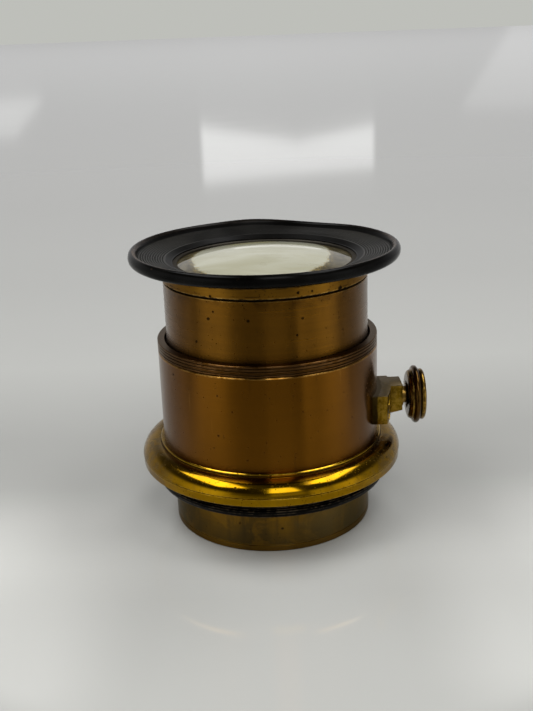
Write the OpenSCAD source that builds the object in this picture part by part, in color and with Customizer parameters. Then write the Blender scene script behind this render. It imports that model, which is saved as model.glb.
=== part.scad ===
// Brass portrait lens standing on its rear cell, optical axis along +Z.
// Origin: centre of the rear face. The focusing knob points along +X.

/* [Outer barrel] */
// Outside diameter of the outer barrel
barrel_d = 64; // [63:0.5:66]
// Wall thickness of the outer barrel
barrel_wall = 1.6; // [1.5:0.1:1.7]
// Length of the outer barrel from the flange seat to its top shoulder
barrel_len = 34.3; // [33:0.5:38]
// Height of the grooved collar on top of the barrel
collar_h = 3.3; // [3.2:0.1:3.8]

/* [Mounting flange] */
// Outside diameter of the flat band under the flange bead
flange_d = 76.8; // [76:0.2:78]
// Radius of the half-round flange bead
bead_r = 4.75; // [4.6:0.05:4.8]
// Height of the black threaded neck under the flange
neck_h = 3.4; // [3.2:0.1:4]
// Outside diameter of the black threaded neck
neck_d = 67.8; // [67:0.2:68.4]
// Outside diameter of the black lock ring
lock_d = 69; // [68.8:0.2:70]

/* [Rear cell] */
// Outside diameter of the rear cell
rear_d = 58.8; // [58.8:0.2:60]
// Visible height of the rear cell
rear_h = 13.2; // [13:0.2:14]

/* [Focusing tube] */
// Radial gap between the focusing tube and the barrel bore
tube_gap = 1.1; // [1.1:0.02:1.2]
// Wall thickness of the focusing tube
tube_wall = 1.2; // [1.1:0.05:1.3]
// Length of focusing tube showing above the collar at rest
tube_show = 16.9; // [15:0.5:20]
// How far the tube racks inwards from rest
travel_in = 8; // [6:0.5:8]
// How far the tube racks outwards from rest
travel_out = 5.5; // [3:0.5:5.5]

/* [Front cell and hood] */
// Height of the brass front cell band
cell_h = 3.2; // [3:0.1:4]
// Overall diameter of the flared hood
hood_d = 77.2; // [76:0.2:79]
// Radius of the rolled bead round the hood rim
rim_r = 1.25; // [1.1:0.05:1.3]
// Number of turned grooves in the hood dish
hood_grooves = 11; // [6:1:12]

/* [Focusing drive] */
// Tooth count of the focusing pinion
pinion_teeth = 10; // [10:1:11]
// Gear module of the pinion and rack
gear_m = 0.6; // [0.55:0.01:0.6]
// Height of the pinion bracket
bracket_h = 8.6; // [8.4:0.1:9.4]
// how far the pinion bracket's foot reaches round the barrel, on its one side, from the pinion axis (mm)
foot_reach = 12.4; // [12:0.1:13.4]
// Diameter over the ridge of the focusing knob
knob_d = 17.2; // [16:0.2:19]
// Diameter of the pinion shaft
shaft_d = 5; // [4.6:0.1:5]

/* [Hidden] */
$fn = 180;

// ---- radii
r_bar = barrel_d / 2;
r_bore = r_bar - barrel_wall;
r_tube = r_bore - tube_gap;
r_tin = r_tube - tube_wall;
r_cell = r_tin - 2;
r_glass = r_cell - 0.1;
r_rear = rear_d / 2;
r_thread = r_bore + 0.6;
run = 0.06;
// ---- heights
z_lock = rear_h;
z_neck = z_lock + 2;
z_seat = z_neck + neck_h;
z_shelf = z_seat - 1.8;
z_shoulder = z_seat + barrel_len;
z_collar = z_shoulder + collar_h;
z_pin = z_seat + 16.2;
z_tube0 = z_shelf + 0.2 + travel_in;
z_tube1 = z_collar + tube_show;
z_cell0 = z_tube1 + 0.4;
z_cell1 = z_cell0 + cell_h;
// ---- drive
rp = gear_m * pinion_teeth / 2;
ra = rp + 0.9 * gear_m;
pa = 25;
pitch = PI * gear_m;
rack_tip = rp - 0.8 * gear_m;
rack_root = rp + 1.15 * gear_m;
rack_back = rack_root + 2.6;
slot_y0 = -(ra + 0.4);
slot_y1 = rack_back + 0.3;
slot_z1 = z_pin + travel_in + ra + 0.4;
rack_z0 = z_tube0 + 1;
rack_z1 = z_pin + travel_in + 2.8;
saddle_r = r_bar + 4;
stem_x = r_bar + 7.35;
shaft_r = shaft_d / 2;
bush_r = shaft_r + 0.7;
knob_x = stem_x + 4.05;

// tube: a plain ring between two heights
module ring(ri, ro, z0, z1) {
    difference() {
        translate([0, 0, z0]) cylinder(r = ro, h = z1 - z0);
        translate([0, 0, z0 - 1]) cylinder(r = ri, h = z1 - z0 + 2);
    }
}

// v-shaped groove in an outside profile: radius, height, width, depth
function vgroove(r, z, w, d) = [[r, z - w / 2], [r - d, z], [r, z + w / 2]];

// spherical cap sag at radius r of a surface of curvature radius c
function sag(c, r) = c - sqrt(c * c - r * r);

// slotted screw along +X, head face at x = 0, shank running to negative x
module slotted_screw(head_r, head_h, shank_r, len, slot_w) {
    difference() {
        union() {
            rotate([0, -90, 0]) cylinder(r = head_r, h = head_h);
            rotate([0, -90, 0]) cylinder(r = shank_r, h = len);
        }
        translate([-head_h * 0.45, -head_r - 1, -slot_w / 2]) cube([head_h, 2 * head_r + 2, slot_w]);
    }
}

// ---------------------------------------------------------------- rear cell
module rear_cell() {
    color("#5a4a24")
    rotate_extrude() polygon(concat(
        [[r_cell + 1.1, 0], [r_rear - 0.3, 0], [r_rear, 0.3]],
        vgroove(r_rear, 1.9, 0.3, 0.22),
        [[r_rear, z_lock], [r_thread, z_lock], [r_thread, z_shelf],
         [r_cell - 1.3, z_shelf], [r_cell - 1.3, z_shelf - 2.2],
         [r_cell, z_shelf - 2.2], [r_cell, 4.2], [r_cell + 1.1, 4.2]]));
}

module rear_retaining_ring() {
    color("#2a2622")
    difference() {
        ring(r_cell - 1.3, r_cell, 4.8, 7.15);
        // two spanner notches
        for (a = [0, 180]) rotate([0, 0, a]) translate([r_cell - 2, -0.9, 4]) cube([3, 1.8, 1.8]);
    }
}

module rear_crown_glass() {
    color("#cfdcd8", 0.5)
    intersection() {
        translate([0, 0, 4]) cylinder(r = r_glass, h = 12);
        translate([0, 0, 7.4 - sag(140, r_glass) + 140]) sphere(r = 140, $fn = 240);
        translate([0, 0, 9.2 + sag(92, r_glass) - 92]) sphere(r = 92, $fn = 240);
    }
}

module rear_spacer_ring() {
    color("#7a5c1e") ring(r_cell - 1.4, r_glass, 9.6, z_shelf - 5.9);
}

module rear_flint_glass() {
    z0 = z_shelf - 5.9;
    z1 = z_shelf - 2.48;
    color("#cfdcd8", 0.5)
    difference() {
        intersection() {
            translate([0, 0, z0]) cylinder(r = r_glass, h = 12);
            translate([0, 0, z1 + sag(130, r_glass) - 130]) sphere(r = 130, $fn = 240);
        }
        translate([0, 0, z0 + sag(86, r_glass) - 86]) sphere(r = 86, $fn = 240);
    }
}

// ------------------------------------------------- black neck and lock ring
module lock_ring() {
    ro = lock_d / 2;
    color("#1a1918")
    rotate_extrude() polygon([[r_thread, z_lock + 0.02], [ro - 0.45, z_lock + 0.02],
        [ro - 0.05, z_lock + 0.95], [ro, z_lock + 1.05], [ro, z_neck - 0.1],
        [ro - 0.08, z_neck], [r_thread, z_neck]]);
}

module mount_thread_ring() {
    ro = neck_d / 2;
    n = 4;
    color("#161515")
    rotate_extrude() polygon(concat(
        [[r_thread, z_neck], [ro, z_neck]],
        [for (i = [0 : n - 1]) for (p = vgroove(ro, z_neck + 0.55 + i * 0.72, 0.5, 0.3)) p],
        [[ro, z_seat + 0.1], [r_bar + 0.04, z_seat + 0.1], [r_bar + 0.04, z_seat],
         [r_bore, z_seat], [r_bore, z_shelf], [r_thread, z_shelf]]));
}

// -------------------------------------------------------------- bead flange
module mount_flange() {
    ro = flange_d / 2;
    zb = z_seat + 1.6;
    color("#b8860b")
    difference() {
        union() {
            rotate_extrude() polygon([[r_bar - 1, z_seat + 0.1], [neck_d / 2 + 0.05, z_seat + 0.1],
                [neck_d / 2 + 0.05, z_seat], [ro - 0.15, z_seat], [ro, z_seat + 0.15],
                [ro, z_seat + 2.2], [ro - 0.12, z_seat + 2.32], [ro - 0.45, z_seat + 2.32],
                [ro - 0.45, z_seat + 3], [r_bar + 1, z_seat + 3],
                [r_bar + 1, z_seat + 6.6], [r_bar + 0.95, z_seat + 6.9], [r_bar + 0.7, z_seat + 7.1], [r_bar - 1, z_seat + 7.1]]);
            intersection() {
                rotate_extrude() translate([ro + 0.25 - bead_r, zb]) circle(r = bead_r);
                translate([0, 0, z_seat + 2.5]) cylinder(r = ro + 3, h = 5);
            }
        }
        translate([0, 0, z_seat - 1]) cylinder(r = r_bar + 0.02, h = 12);
    }
}

// ------------------------------------------------------------- outer barrel
module outer_barrel() {
    color("#6b3f12")
    difference() {
        rotate_extrude() polygon([[r_bore, z_seat], [r_bar, z_seat], [r_bar, z_shoulder - 0.3],
            [r_bar - 0.25, z_shoulder], [r_bore + 0.8, z_shoulder],
            [r_bore + 0.8, z_shoulder + 1.8], [r_bore, z_shoulder + 1.8]]);
        // clearance hole for the pinion
        translate([0, 0, z_pin]) rotate([0, 90, 0]) cylinder(r = ra + 0.4, h = r_bar + 5);
        // tapped holes for the bracket screws
        for (s = [-1, 1]) rotate([0, 0, -15.4]) translate([0, 0, z_pin + s * 2.15]) rotate([0, 90, 0]) cylinder(r = 1.02, h = r_bar + 5);
        // tapped hole for the stop screw
        rotate([0, 0, 150]) translate([0, 0, z_pin + 1.2]) rotate([0, 90, 0]) cylinder(r = 1.01, h = r_bar + 5);
    }
}

module barrel_collar() {
    color("#6b3f12")
    rotate_extrude() polygon(concat(
        [[r_bore + 0.8, z_shoulder + 0.05], [r_bar - 0.35, z_shoulder + 0.05], [r_bar, z_shoulder + 0.35]],
        vgroove(r_bar, z_shoulder + 0.8, 0.36, 0.26),
        vgroove(r_bar, z_shoulder + 1.72, 0.34, 0.24),
        vgroove(r_bar, z_shoulder + 2.55, 0.34, 0.24),
        [[r_bar, z_collar - 0.2], [r_bar - 0.2, z_collar], [r_tube + 0.75, z_collar],
         [r_tube + 0.62, z_collar - 0.15], [r_tube + 0.62, z_shoulder + 1.8], [r_bore + 0.8, z_shoulder + 1.8]]));
}

module light_seal() {
    color("#2b1b14") ring(r_tube + run, r_bore, z_shoulder - 0.8, z_shoulder + 1.78);
}

module stop_screw() {
    color("#3a3f4a")
    rotate([0, 0, 150]) translate([r_bar - 0.05, 0, z_pin + 1.2])
        slotted_screw(1, 0.8, 1, barrel_wall - 0.05 + tube_gap - 0.3, 0.35);
}

// ---------------------------------------------------------- focusing drive
module pinion_bracket() {
    zb = z_pin - bracket_h / 2;
    color("#7a5f16")
    difference() {
        union() {
            // curved foot wrapped on the barrel, to one side of the stem
            intersection() {
                ring(r_bar, saddle_r, zb, zb + bracket_h);
                translate([0, -foot_reach, zb - 1]) cube([saddle_r + 2, foot_reach + 5, bracket_h + 2]);
            }
            // tapered bearing stem
            rotate([90, 0, 0]) translate([0, 0, -3.9]) linear_extrude(7.8)
                polygon([[r_bar + 1.2, zb], [saddle_r, zb], [stem_x - 0.2, zb + 0.65], [stem_x, zb + 0.85],
                    [stem_x, zb + bracket_h - 0.2], [stem_x - 0.2, zb + bracket_h], [r_bar + 1.2, zb + bracket_h]]);
        }
        translate([0, 0, z_pin]) rotate([0, 90, 0]) cylinder(r = bush_r, h = stem_x + 5);
        translate([0, 0, z_pin]) rotate([0, 90, 0]) cylinder(r = ra + 0.3, h = r_bar + 1.2);
        for (s = [-1, 1]) rotate([0, 0, -15.4]) translate([0, 0, z_pin + s * 2.15]) rotate([0, 90, 0]) {
            cylinder(r = 1.02, h = saddle_r + 2);
            translate([0, 0, saddle_r - 1.35]) cylinder(r = 1.82, h = 3);
        }
    }
}

module bracket_screws() {
    color("#8a6b25")
    for (s = [-1, 1]) rotate([0, 0, -15.4]) translate([saddle_r - 0.25, 0, z_pin + s * 2.15])
        rotate([28 * s, 0, 0]) slotted_screw(1.8, 1.1, 1, saddle_r - 0.25 - r_bore - 0.2, 0.5);
}

module pinion_bush() {
    color("#a8842a")
    translate([0, 0, z_pin]) rotate([0, 90, 0])
    difference() {
        translate([0, 0, r_bar + 1.2]) cylinder(r = bush_r, h = stem_x - r_bar - 1.2);
        cylinder(r = shaft_r + 0.05, h = stem_x + 5);
    }
}

module thrust_washer() {
    color("#4a3a1a")
    translate([0, 0, z_pin]) rotate([0, 90, 0])
    difference() {
        translate([0, 0, stem_x]) cylinder(r = shaft_r + 0.75, h = 0.5);
        cylinder(r = shaft_r + 0.12, h = stem_x + 5);
    }
}

// involute helper, degrees
function inv(a) = tan(a) * 180 / PI - a;
// tooth half angle of the pinion at radius r, with a little backlash
function half_ang(r, rb, n) = 90 / n - 0.065 / rp * 180 / PI + inv(pa) - inv(acos(min(1, rb / r)));

// outline of the pinion as [radius, angle] pairs, tooth by tooth
function pinion_polar(n, rb, rf, k) = [for (i = [0 : n - 1]) each concat(
    [[rf, i * 360 / n - half_ang(rb, rb, n)]],
    [for (j = [0 : k]) let(r = rb + (ra - rb) * j / k) [r, i * 360 / n - half_ang(r, rb, n)]],
    [for (j = [k : -1 : 0]) let(r = rb + (ra - rb) * j / k) [r, i * 360 / n + half_ang(r, rb, n)]],
    [[rf, i * 360 / n + half_ang(rb, rb, n)]])];

module pinion_profile() {
    polygon([for (q = pinion_polar(pinion_teeth, rp * cos(pa), rp - 1.1 * gear_m, 6))
        [q[0] * cos(q[1]), q[0] * sin(q[1])]]);
}

module focus_pinion() {
    color("#8a6b25")
    union() {
        translate([r_tin + 0.3, 0, z_pin]) rotate([90, 0, 90]) linear_extrude(2.6) pinion_profile();
        translate([0, 0, z_pin]) rotate([0, 90, 0]) {
            translate([0, 0, r_tin + 2.8]) cylinder(r = rp + 0.25, h = r_bar + 1 - r_tin - 2.8);
            translate([0, 0, r_tin + 0.3]) cylinder(r = rp - 1.1 * gear_m - 0.05, h = 4);
            translate([0, 0, r_bar]) cylinder(r = shaft_r, h = knob_x - r_bar - 1.4);
            translate([0, 0, r_bar]) cylinder(r = 1.6, h = knob_x - r_bar + 0.6);
        }
    }
}

module focus_knob() {
    rk = knob_d / 2;
    // profile along the shaft: x across the radius, y along the axis from the ridge
    color("#5a4018")
    translate([knob_x, 0, z_pin]) rotate([0, 90, 0])
    difference() {
        union() {
            rotate_extrude() polygon([
                [0, -2.85], [shaft_r + 0.9, -2.85], [shaft_r + 1.1, -2.55], [shaft_r + 1.4, -2.15],
                [rk - 2.2, -1.95], [rk - 1.45, -1.7], [rk - 1.1, -1.25],
                [rk - 1.1, -0.9], [rk - 0.75, -0.8], [rk - 0.75, 0.8], [rk - 1.1, 0.9],
                [rk - 1.1, 1.35], [rk - 1.5, 1.8], [rk - 2.4, 2.0], [shaft_r + 0.6, 2.35], [0, 2.4]]);
            rotate_extrude() translate([rk - 0.95, 0]) circle(r = 0.95);
        }
        translate([0, 0, -4]) cylinder(r = 1.62, h = 4.6);
        translate([0, 0, -4]) cylinder(r = shaft_r + 0.02, h = 2.6);
        translate([0, 0, 0]) cylinder(r = 0.92, h = 4);
        translate([0, 0, 1.6]) cylinder(r = 2.05, h = 2);
    }
}

module knob_screw() {
    color("#8a6b25")
    translate([knob_x + 2.75, 0, z_pin]) slotted_screw(2, 1.15, 0.9, 2.1, 0.5);
}

// ----------------------------------------------------------- focusing tube
module focusing_tube() {
    color("#7a4a14")
    difference() {
        rotate_extrude() polygon([[r_tin, z_tube0], [r_tube, z_tube0], [r_tube, z_tube1 - 0.15],
            [r_tube - 0.15, z_tube1], [r_tin, z_tube1]]);
        translate([r_tin - 3, slot_y0, z_tube0 - 5]) cube([8, slot_y1 - slot_y0, slot_z1 - z_tube0 + 5]);
        rack_screw_holes(0.72);
    }
}

// split band that guides the lower end of the tube in the barrel bore
module guide_band() {
    color("#8a6b25")
    difference() {
        ring(r_tube, r_bore - run, z_tube0, z_tube0 + 4);
        translate([r_tin - 3, slot_y0, z_tube0 - 5]) cube([8, slot_y1 - slot_y0, 20]);
    }
}

rack_screw_at = [for (z = [rack_z0 + 1.6, rack_z1 + 0.2]) for (a = [-12.2, 18.6]) [a, z]];

module rack_screw_holes(r) {
    for (p = rack_screw_at) rotate([0, 0, p[0]]) translate([r_tin - 4, 0, p[1]]) rotate([0, 90, 0]) cylinder(r = r, h = 8);
}

module focus_rack() {
    zc = z_pin;
    k0 = ceil((rack_z0 + 0.3 - zc) / pitch);
    k1 = floor((rack_z1 - 0.3 - zc) / pitch);
    t = tan(pa);
    // the gaps between teeth sit at the pinion height plus whole pitches
    color("#9a7a28")
    difference() {
        union() {
            intersection() {
                ring(r_tin - 0.9, r_tin, z_tube0 + 0.4, slot_z1 + 1.6);
                translate([r_tin - 4, slot_y0 - 3.6, 0]) cube([8, slot_y1 - slot_y0 + 7.2, 200]);
            }
            difference() {
                intersection() {
                    translate([r_tin - 0.45, 0, 0]) rotate([90, 0, 90]) linear_extrude(6)
                        polygon(concat(
                            [[rack_back, rack_z0], [rack_root, rack_z0]],
                            [for (k = [k0 : k1]) each [
                                [rack_root, zc + k * pitch - pitch / 4 + (rack_root - rp) * t],
                                [rack_root, zc + k * pitch + pitch / 4 - (rack_root - rp) * t],
                                [rack_tip, zc + k * pitch + pitch / 4 + (rp - rack_tip) * t],
                                [rack_tip, zc + (k + 1) * pitch - pitch / 4 - (rp - rack_tip) * t]]],
                            [[rack_root, zc + (k1 + 1) * pitch - pitch / 4 + (rack_root - rp) * t],
                             [rack_root, rack_z1 + 0.6], [rack_back, rack_z1 + 0.6]]));
                    translate([0, 0, rack_z0 - 1]) cylinder(r = r_bore - 0.3, h = rack_z1 - rack_z0 + 4);
                }
            }
        }
        rack_screw_holes(0.72);
    }
}

module rack_screws() {
    color("#3a3f4a")
    for (p = rack_screw_at) rotate([0, 0, p[0]]) translate([r_tin - 1.64, 0, p[1]])
        mirror([1, 0, 0]) slotted_screw(1.2, 0.7, 0.7, 2.7, 0.3);
}

module glare_stop() {
    color("#1c1a18")
    rotate_extrude() polygon([[r_tin - 4.6, z_tube1 - 14], [r_tin - 4.3, z_tube1 - 14.5], [r_tin - 1, z_tube1 - 14.5],
        [r_tin - 1, z_tube1 - 16], [r_tin, z_tube1 - 16], [r_tin, z_tube1 - 13], [r_tin - 1, z_tube1 - 13.5],
        [r_tin - 4.3, z_tube1 - 13.5]]);
}

// --------------------------------------------------------------- front cell
module front_cell() {
    color("#a87a1c")
    rotate_extrude() polygon([
        [r_cell, z_cell0 - 5], [r_tin, z_cell0 - 5], [r_tin, z_cell0], [r_tube - 0.05, z_cell0],
        [r_tube + 0.15, z_cell0 + 0.2], [r_tube + 0.15, z_cell1], [r_tin + 0.5, z_cell1],
        [r_tin + 0.5, z_cell1 + 1.2], [r_cell - 1.1, z_cell1 + 1.2],
        [r_cell - 1.1, z_cell1 + 0.72], [r_cell, z_cell1 + 0.45]]);
}

// seats of the cemented front pair
z_fe = z_cell1 + 0.4;       // front edge of the crown
z_fi = z_fe - 1.2;          // edge of the cemented surface
z_fb = z_cell0 - 2.9;       // flat back of the flint
c_front = 100;
c_mid = 92;

module front_crown_glass() {
    color("#d8ddd0", 0.5)
    intersection() {
        translate([0, 0, z_fi - 6]) cylinder(r = r_glass, h = 14);
        translate([0, 0, z_fe + sag(c_front, r_glass) - c_front]) sphere(r = c_front, $fn = 240);
        translate([0, 0, z_fi - sag(c_mid, r_glass) + c_mid]) sphere(r = c_mid, $fn = 240);
    }
}

module balsam_layer() {
    color("#e8dcae", 0.6)
    difference() {
        intersection() {
            translate([0, 0, z_fi - 6]) cylinder(r = r_glass - 0.4, h = 8);
            translate([0, 0, z_fi - 0.15 - sag(c_mid, r_glass) + c_mid]) sphere(r = c_mid, $fn = 240);
        }
        translate([0, 0, z_fi - sag(c_mid, r_glass) + c_mid]) sphere(r = c_mid, $fn = 240);
    }
}

module front_flint_glass() {
    color("#d8ddd0", 0.5)
    difference() {
        translate([0, 0, z_fb]) cylinder(r = r_glass, h = z_fi - 0.15 - z_fb);
        translate([0, 0, z_fi - 0.15 - sag(c_mid, r_glass) + c_mid]) sphere(r = c_mid, $fn = 240);
    }
}

module front_retaining_ring() {
    color("#2a2622")
    difference() {
        ring(r_cell - 1.5, r_cell, z_cell0 - 4.9, z_fb);
        for (a = [0, 180]) rotate([0, 0, a]) translate([r_cell - 2.2, -0.9, z_cell0 - 6]) cube([3, 1.8, 2]);
    }
}

// -------------------------------------------------------------- flared hood
module front_hood() {
    rc = hood_d / 2 - rim_r;
    zc = z_cell1 + 4.25;
    r0 = r_cell + 2.2;
    r1 = rc - 1.3;
    n = hood_grooves;
    p = (r1 - r0 - 0.2) / n;
    // height of the dish surface at radius r, before grooving
    function dish(r) = z_cell1 + 2.55 + (r - r0) * 0.178;
    color("#1e1e1e")
    union() {
        rotate_extrude() polygon(concat(
            [[r_tin + 0.5, z_cell1], [r_tin + 2.4, z_cell1], [r_tin + 2.7, z_cell1 + 0.15],
             [rc - 0.7, zc - 1.95], [rc - 0.1, zc - 0.2], [rc - 0.5, zc + 0.1], [r1, dish(r1)]],
            [for (i = [n - 1 : -1 : 0]) each [
                [r0 + 0.2 + (i + 0.92) * p, dish(r0 + (i + 0.92) * p)],
                [r0 + 0.2 + (i + 0.62) * p, dish(r0 + (i + 0.62) * p) - 0.24],
                [r0 + 0.2 + (i + 0.3) * p, dish(r0 + (i + 0.3) * p)]]],
            [[r0, dish(r0)], [r_cell + 0.5, z_cell1 + 1.62], [r_cell + 0.1, z_cell1 + 1.55],
             [r_cell + 0.1, z_cell1 + 1.2], [r_tin + 0.5, z_cell1 + 1.2]]));
        rotate_extrude() union() {
            translate([rc, zc]) circle(r = rim_r);
            translate([rc, zc - 1]) circle(r = rim_r);
            translate([rc - rim_r, zc - 1]) square([2 * rim_r, 1]);
        }
    }
}

rear_cell();
rear_retaining_ring();
rear_crown_glass();
rear_spacer_ring();
rear_flint_glass();
lock_ring();
mount_thread_ring();
mount_flange();
outer_barrel();
barrel_collar();
light_seal();
stop_screw();
pinion_bracket();
bracket_screws();
pinion_bush();
thrust_washer();
focus_pinion();
focus_knob();
knob_screw();
focusing_tube();
guide_band();
focus_rack();
rack_screws();
glare_stop();
front_cell();
front_retaining_ring();
front_flint_glass();
balsam_layer();
front_crown_glass();
front_hood();
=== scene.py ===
import math

import bmesh
import bpy
import numpy as np
from mathutils import Matrix, Vector

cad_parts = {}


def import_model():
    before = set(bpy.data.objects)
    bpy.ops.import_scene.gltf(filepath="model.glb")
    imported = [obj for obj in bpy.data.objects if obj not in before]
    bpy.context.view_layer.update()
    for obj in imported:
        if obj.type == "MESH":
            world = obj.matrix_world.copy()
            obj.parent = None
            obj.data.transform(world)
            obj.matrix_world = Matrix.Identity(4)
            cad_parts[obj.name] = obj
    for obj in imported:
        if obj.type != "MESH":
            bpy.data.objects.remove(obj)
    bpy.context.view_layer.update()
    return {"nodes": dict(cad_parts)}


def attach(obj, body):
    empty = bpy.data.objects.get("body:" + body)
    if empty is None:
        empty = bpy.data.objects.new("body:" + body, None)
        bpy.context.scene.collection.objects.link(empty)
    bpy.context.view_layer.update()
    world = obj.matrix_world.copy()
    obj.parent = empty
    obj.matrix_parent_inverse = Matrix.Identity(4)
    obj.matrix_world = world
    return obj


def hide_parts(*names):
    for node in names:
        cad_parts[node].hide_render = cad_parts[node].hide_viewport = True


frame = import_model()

MM = 0.001
NODES = frame["nodes"]
scene = bpy.context.scene


# --------------------------------------------------------------------------
# node helpers
# --------------------------------------------------------------------------
class Mat:
    """Small builder round one material with one Principled shader."""

    def __init__(self, name, world=None):
        if world is None:
            self.m = bpy.data.materials.new(name)
        else:
            self.m = world
        self.m.use_nodes = True
        self.nt = self.m.node_tree
        self.nt.nodes.clear()
        if world is None:
            self.out = self.n("ShaderNodeOutputMaterial")
            self.b = self.n("ShaderNodeBsdfPrincipled")
            self.l(self.b.outputs[0], self.out.inputs[0])
        tc = self.n("ShaderNodeTexCoord")
        self.obj = tc.outputs["Object"]
        self.gen = tc.outputs["Generated"]

    def n(self, kind, **kw):
        node = self.nt.nodes.new(kind)
        for k, v in kw.items():
            setattr(node, k, v)
        return node

    def l(self, a, b):
        self.nt.links.new(a, b)

    def put(self, sock, v):
        if isinstance(v, bpy.types.NodeSocket):
            self.l(v, sock)
        elif hasattr(sock.default_value, "__len__") and not hasattr(v, "__len__"):
            sock.default_value = [v] * len(sock.default_value)
        elif hasattr(v, "__len__") and len(sock.default_value) == 4 and len(v) == 3:
            sock.default_value = (*v, 1.0)
        else:
            sock.default_value = v

    def set(self, **kw):
        for k, v in kw.items():
            self.put(self.b.inputs[k.replace("_", " ")], v)

    def math(self, op, a, b=0.0, c=None, clamp=False):
        node = self.n("ShaderNodeMath", operation=op, use_clamp=clamp)
        self.put(node.inputs[0], a)
        self.put(node.inputs[1], b)
        if c is not None:
            self.put(node.inputs[2], c)
        return node.outputs[0]

    def add(self, a, b):
        return self.math("ADD", a, b)

    def sub(self, a, b):
        return self.math("SUBTRACT", a, b)

    def mul(self, a, b):
        return self.math("MULTIPLY", a, b)

    def vmul(self, v, k):
        node = self.n("ShaderNodeVectorMath", operation="MULTIPLY")
        self.put(node.inputs[0], v)
        self.put(node.inputs[1], k)
        return node.outputs[0]

    def vadd(self, v, k):
        node = self.n("ShaderNodeVectorMath", operation="ADD")
        self.put(node.inputs[0], v)
        self.put(node.inputs[1], k)
        return node.outputs[0]

    def xyz(self, v):
        node = self.n("ShaderNodeSeparateXYZ")
        self.put(node.inputs[0], v)
        return node.outputs

    def vec(self, x, y, z):
        node = self.n("ShaderNodeCombineXYZ")
        for s, v in zip(node.inputs, (x, y, z)):
            self.put(s, v)
        return node.outputs[0]

    def hyp(self, a, b):
        return self.math("SQRT", self.add(self.mul(a, a), self.mul(b, b)))

    def noise(self, vec, scale=1.0, detail=2.0, rough=0.5, dist=0.0):
        node = self.n("ShaderNodeTexNoise")
        self.put(node.inputs["Vector"], vec)
        node.inputs["Scale"].default_value = scale
        node.inputs["Detail"].default_value = detail
        node.inputs["Roughness"].default_value = rough
        node.inputs["Distortion"].default_value = dist
        return node.outputs[0]

    def voro(self, vec, scale, rand=1.0):
        node = self.n("ShaderNodeTexVoronoi")
        self.put(node.inputs["Vector"], vec)
        node.inputs["Scale"].default_value = scale
        node.inputs["Randomness"].default_value = rand
        return node.outputs["Distance"], node.outputs["Color"]

    def step(self, v, a, b, lo=0.0, hi=1.0):
        """Smooth step: lo where v is a, hi where v is b."""
        node = self.n("ShaderNodeMapRange", interpolation_type="SMOOTHSTEP", clamp=True)
        self.put(node.inputs["Value"], v)
        if a > b:
            a, b, lo, hi = b, a, hi, lo
        self.put(node.inputs["From Min"], a)
        self.put(node.inputs["From Max"], b)
        self.put(node.inputs["To Min"], lo)
        self.put(node.inputs["To Max"], hi)
        return node.outputs[0]

    def lin(self, v, a, b, lo=0.0, hi=1.0):
        node = self.n("ShaderNodeMapRange", clamp=True)
        self.put(node.inputs["Value"], v)
        self.put(node.inputs["From Min"], a)
        self.put(node.inputs["From Max"], b)
        self.put(node.inputs["To Min"], lo)
        self.put(node.inputs["To Max"], hi)
        return node.outputs[0]

    def band(self, v, a, b, s):
        return self.mul(self.step(v, a - s, a + s), self.step(v, b + s, b - s))

    def mix(self, fac, a, b, blend="MIX"):
        node = self.n("ShaderNodeMix", data_type="RGBA", blend_type=blend)
        self.put(node.inputs[0], fac)
        self.put(node.inputs[6], a)
        self.put(node.inputs[7], b)
        return node.outputs[2]

    def ramp(self, fac, stops):
        node = self.n("ShaderNodeValToRGB")
        self.put(node.inputs[0], fac)
        el = node.color_ramp.elements
        while len(el) < len(stops):
            el.new(0.5)
        for e, (p, c) in zip(el, stops):
            e.position = p
            e.color = (*c, 1.0)
        return node.outputs[0]

    def attr(self, name):
        return self.n("ShaderNodeAttribute", attribute_name=name).outputs["Fac"]

    def bump(self, height, dist, strength=1.0, normal=None):
        """Bump from a height of 0 to 1 that stands for dist metres."""
        node = self.n("ShaderNodeBump")
        node.inputs["Strength"].default_value = strength
        node.inputs["Distance"].default_value = dist
        self.put(node.inputs["Height"], height)
        if normal is not None:
            self.l(normal, node.inputs["Normal"])
        return node.outputs[0]


def spot_mask(mt, centres, coord, warp):
    """Soft-edged blots at given places (x, y, z, radius in mm), with a ragged outline."""
    total = None
    for x, y, z, r in centres:
        d = mt.n("ShaderNodeVectorMath", operation="DISTANCE")
        mt.put(d.inputs[0], coord)
        d.inputs[1].default_value = (x * MM, y * MM, z * MM)
        v = mt.add(d.outputs["Value"], mt.mul(mt.sub(warp, 0.5), r * MM * 1.3))
        s = mt.step(v, r * MM, r * MM * 0.55)
        total = s if total is None else mt.math("MAXIMUM", total, s)
    return total


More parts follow.
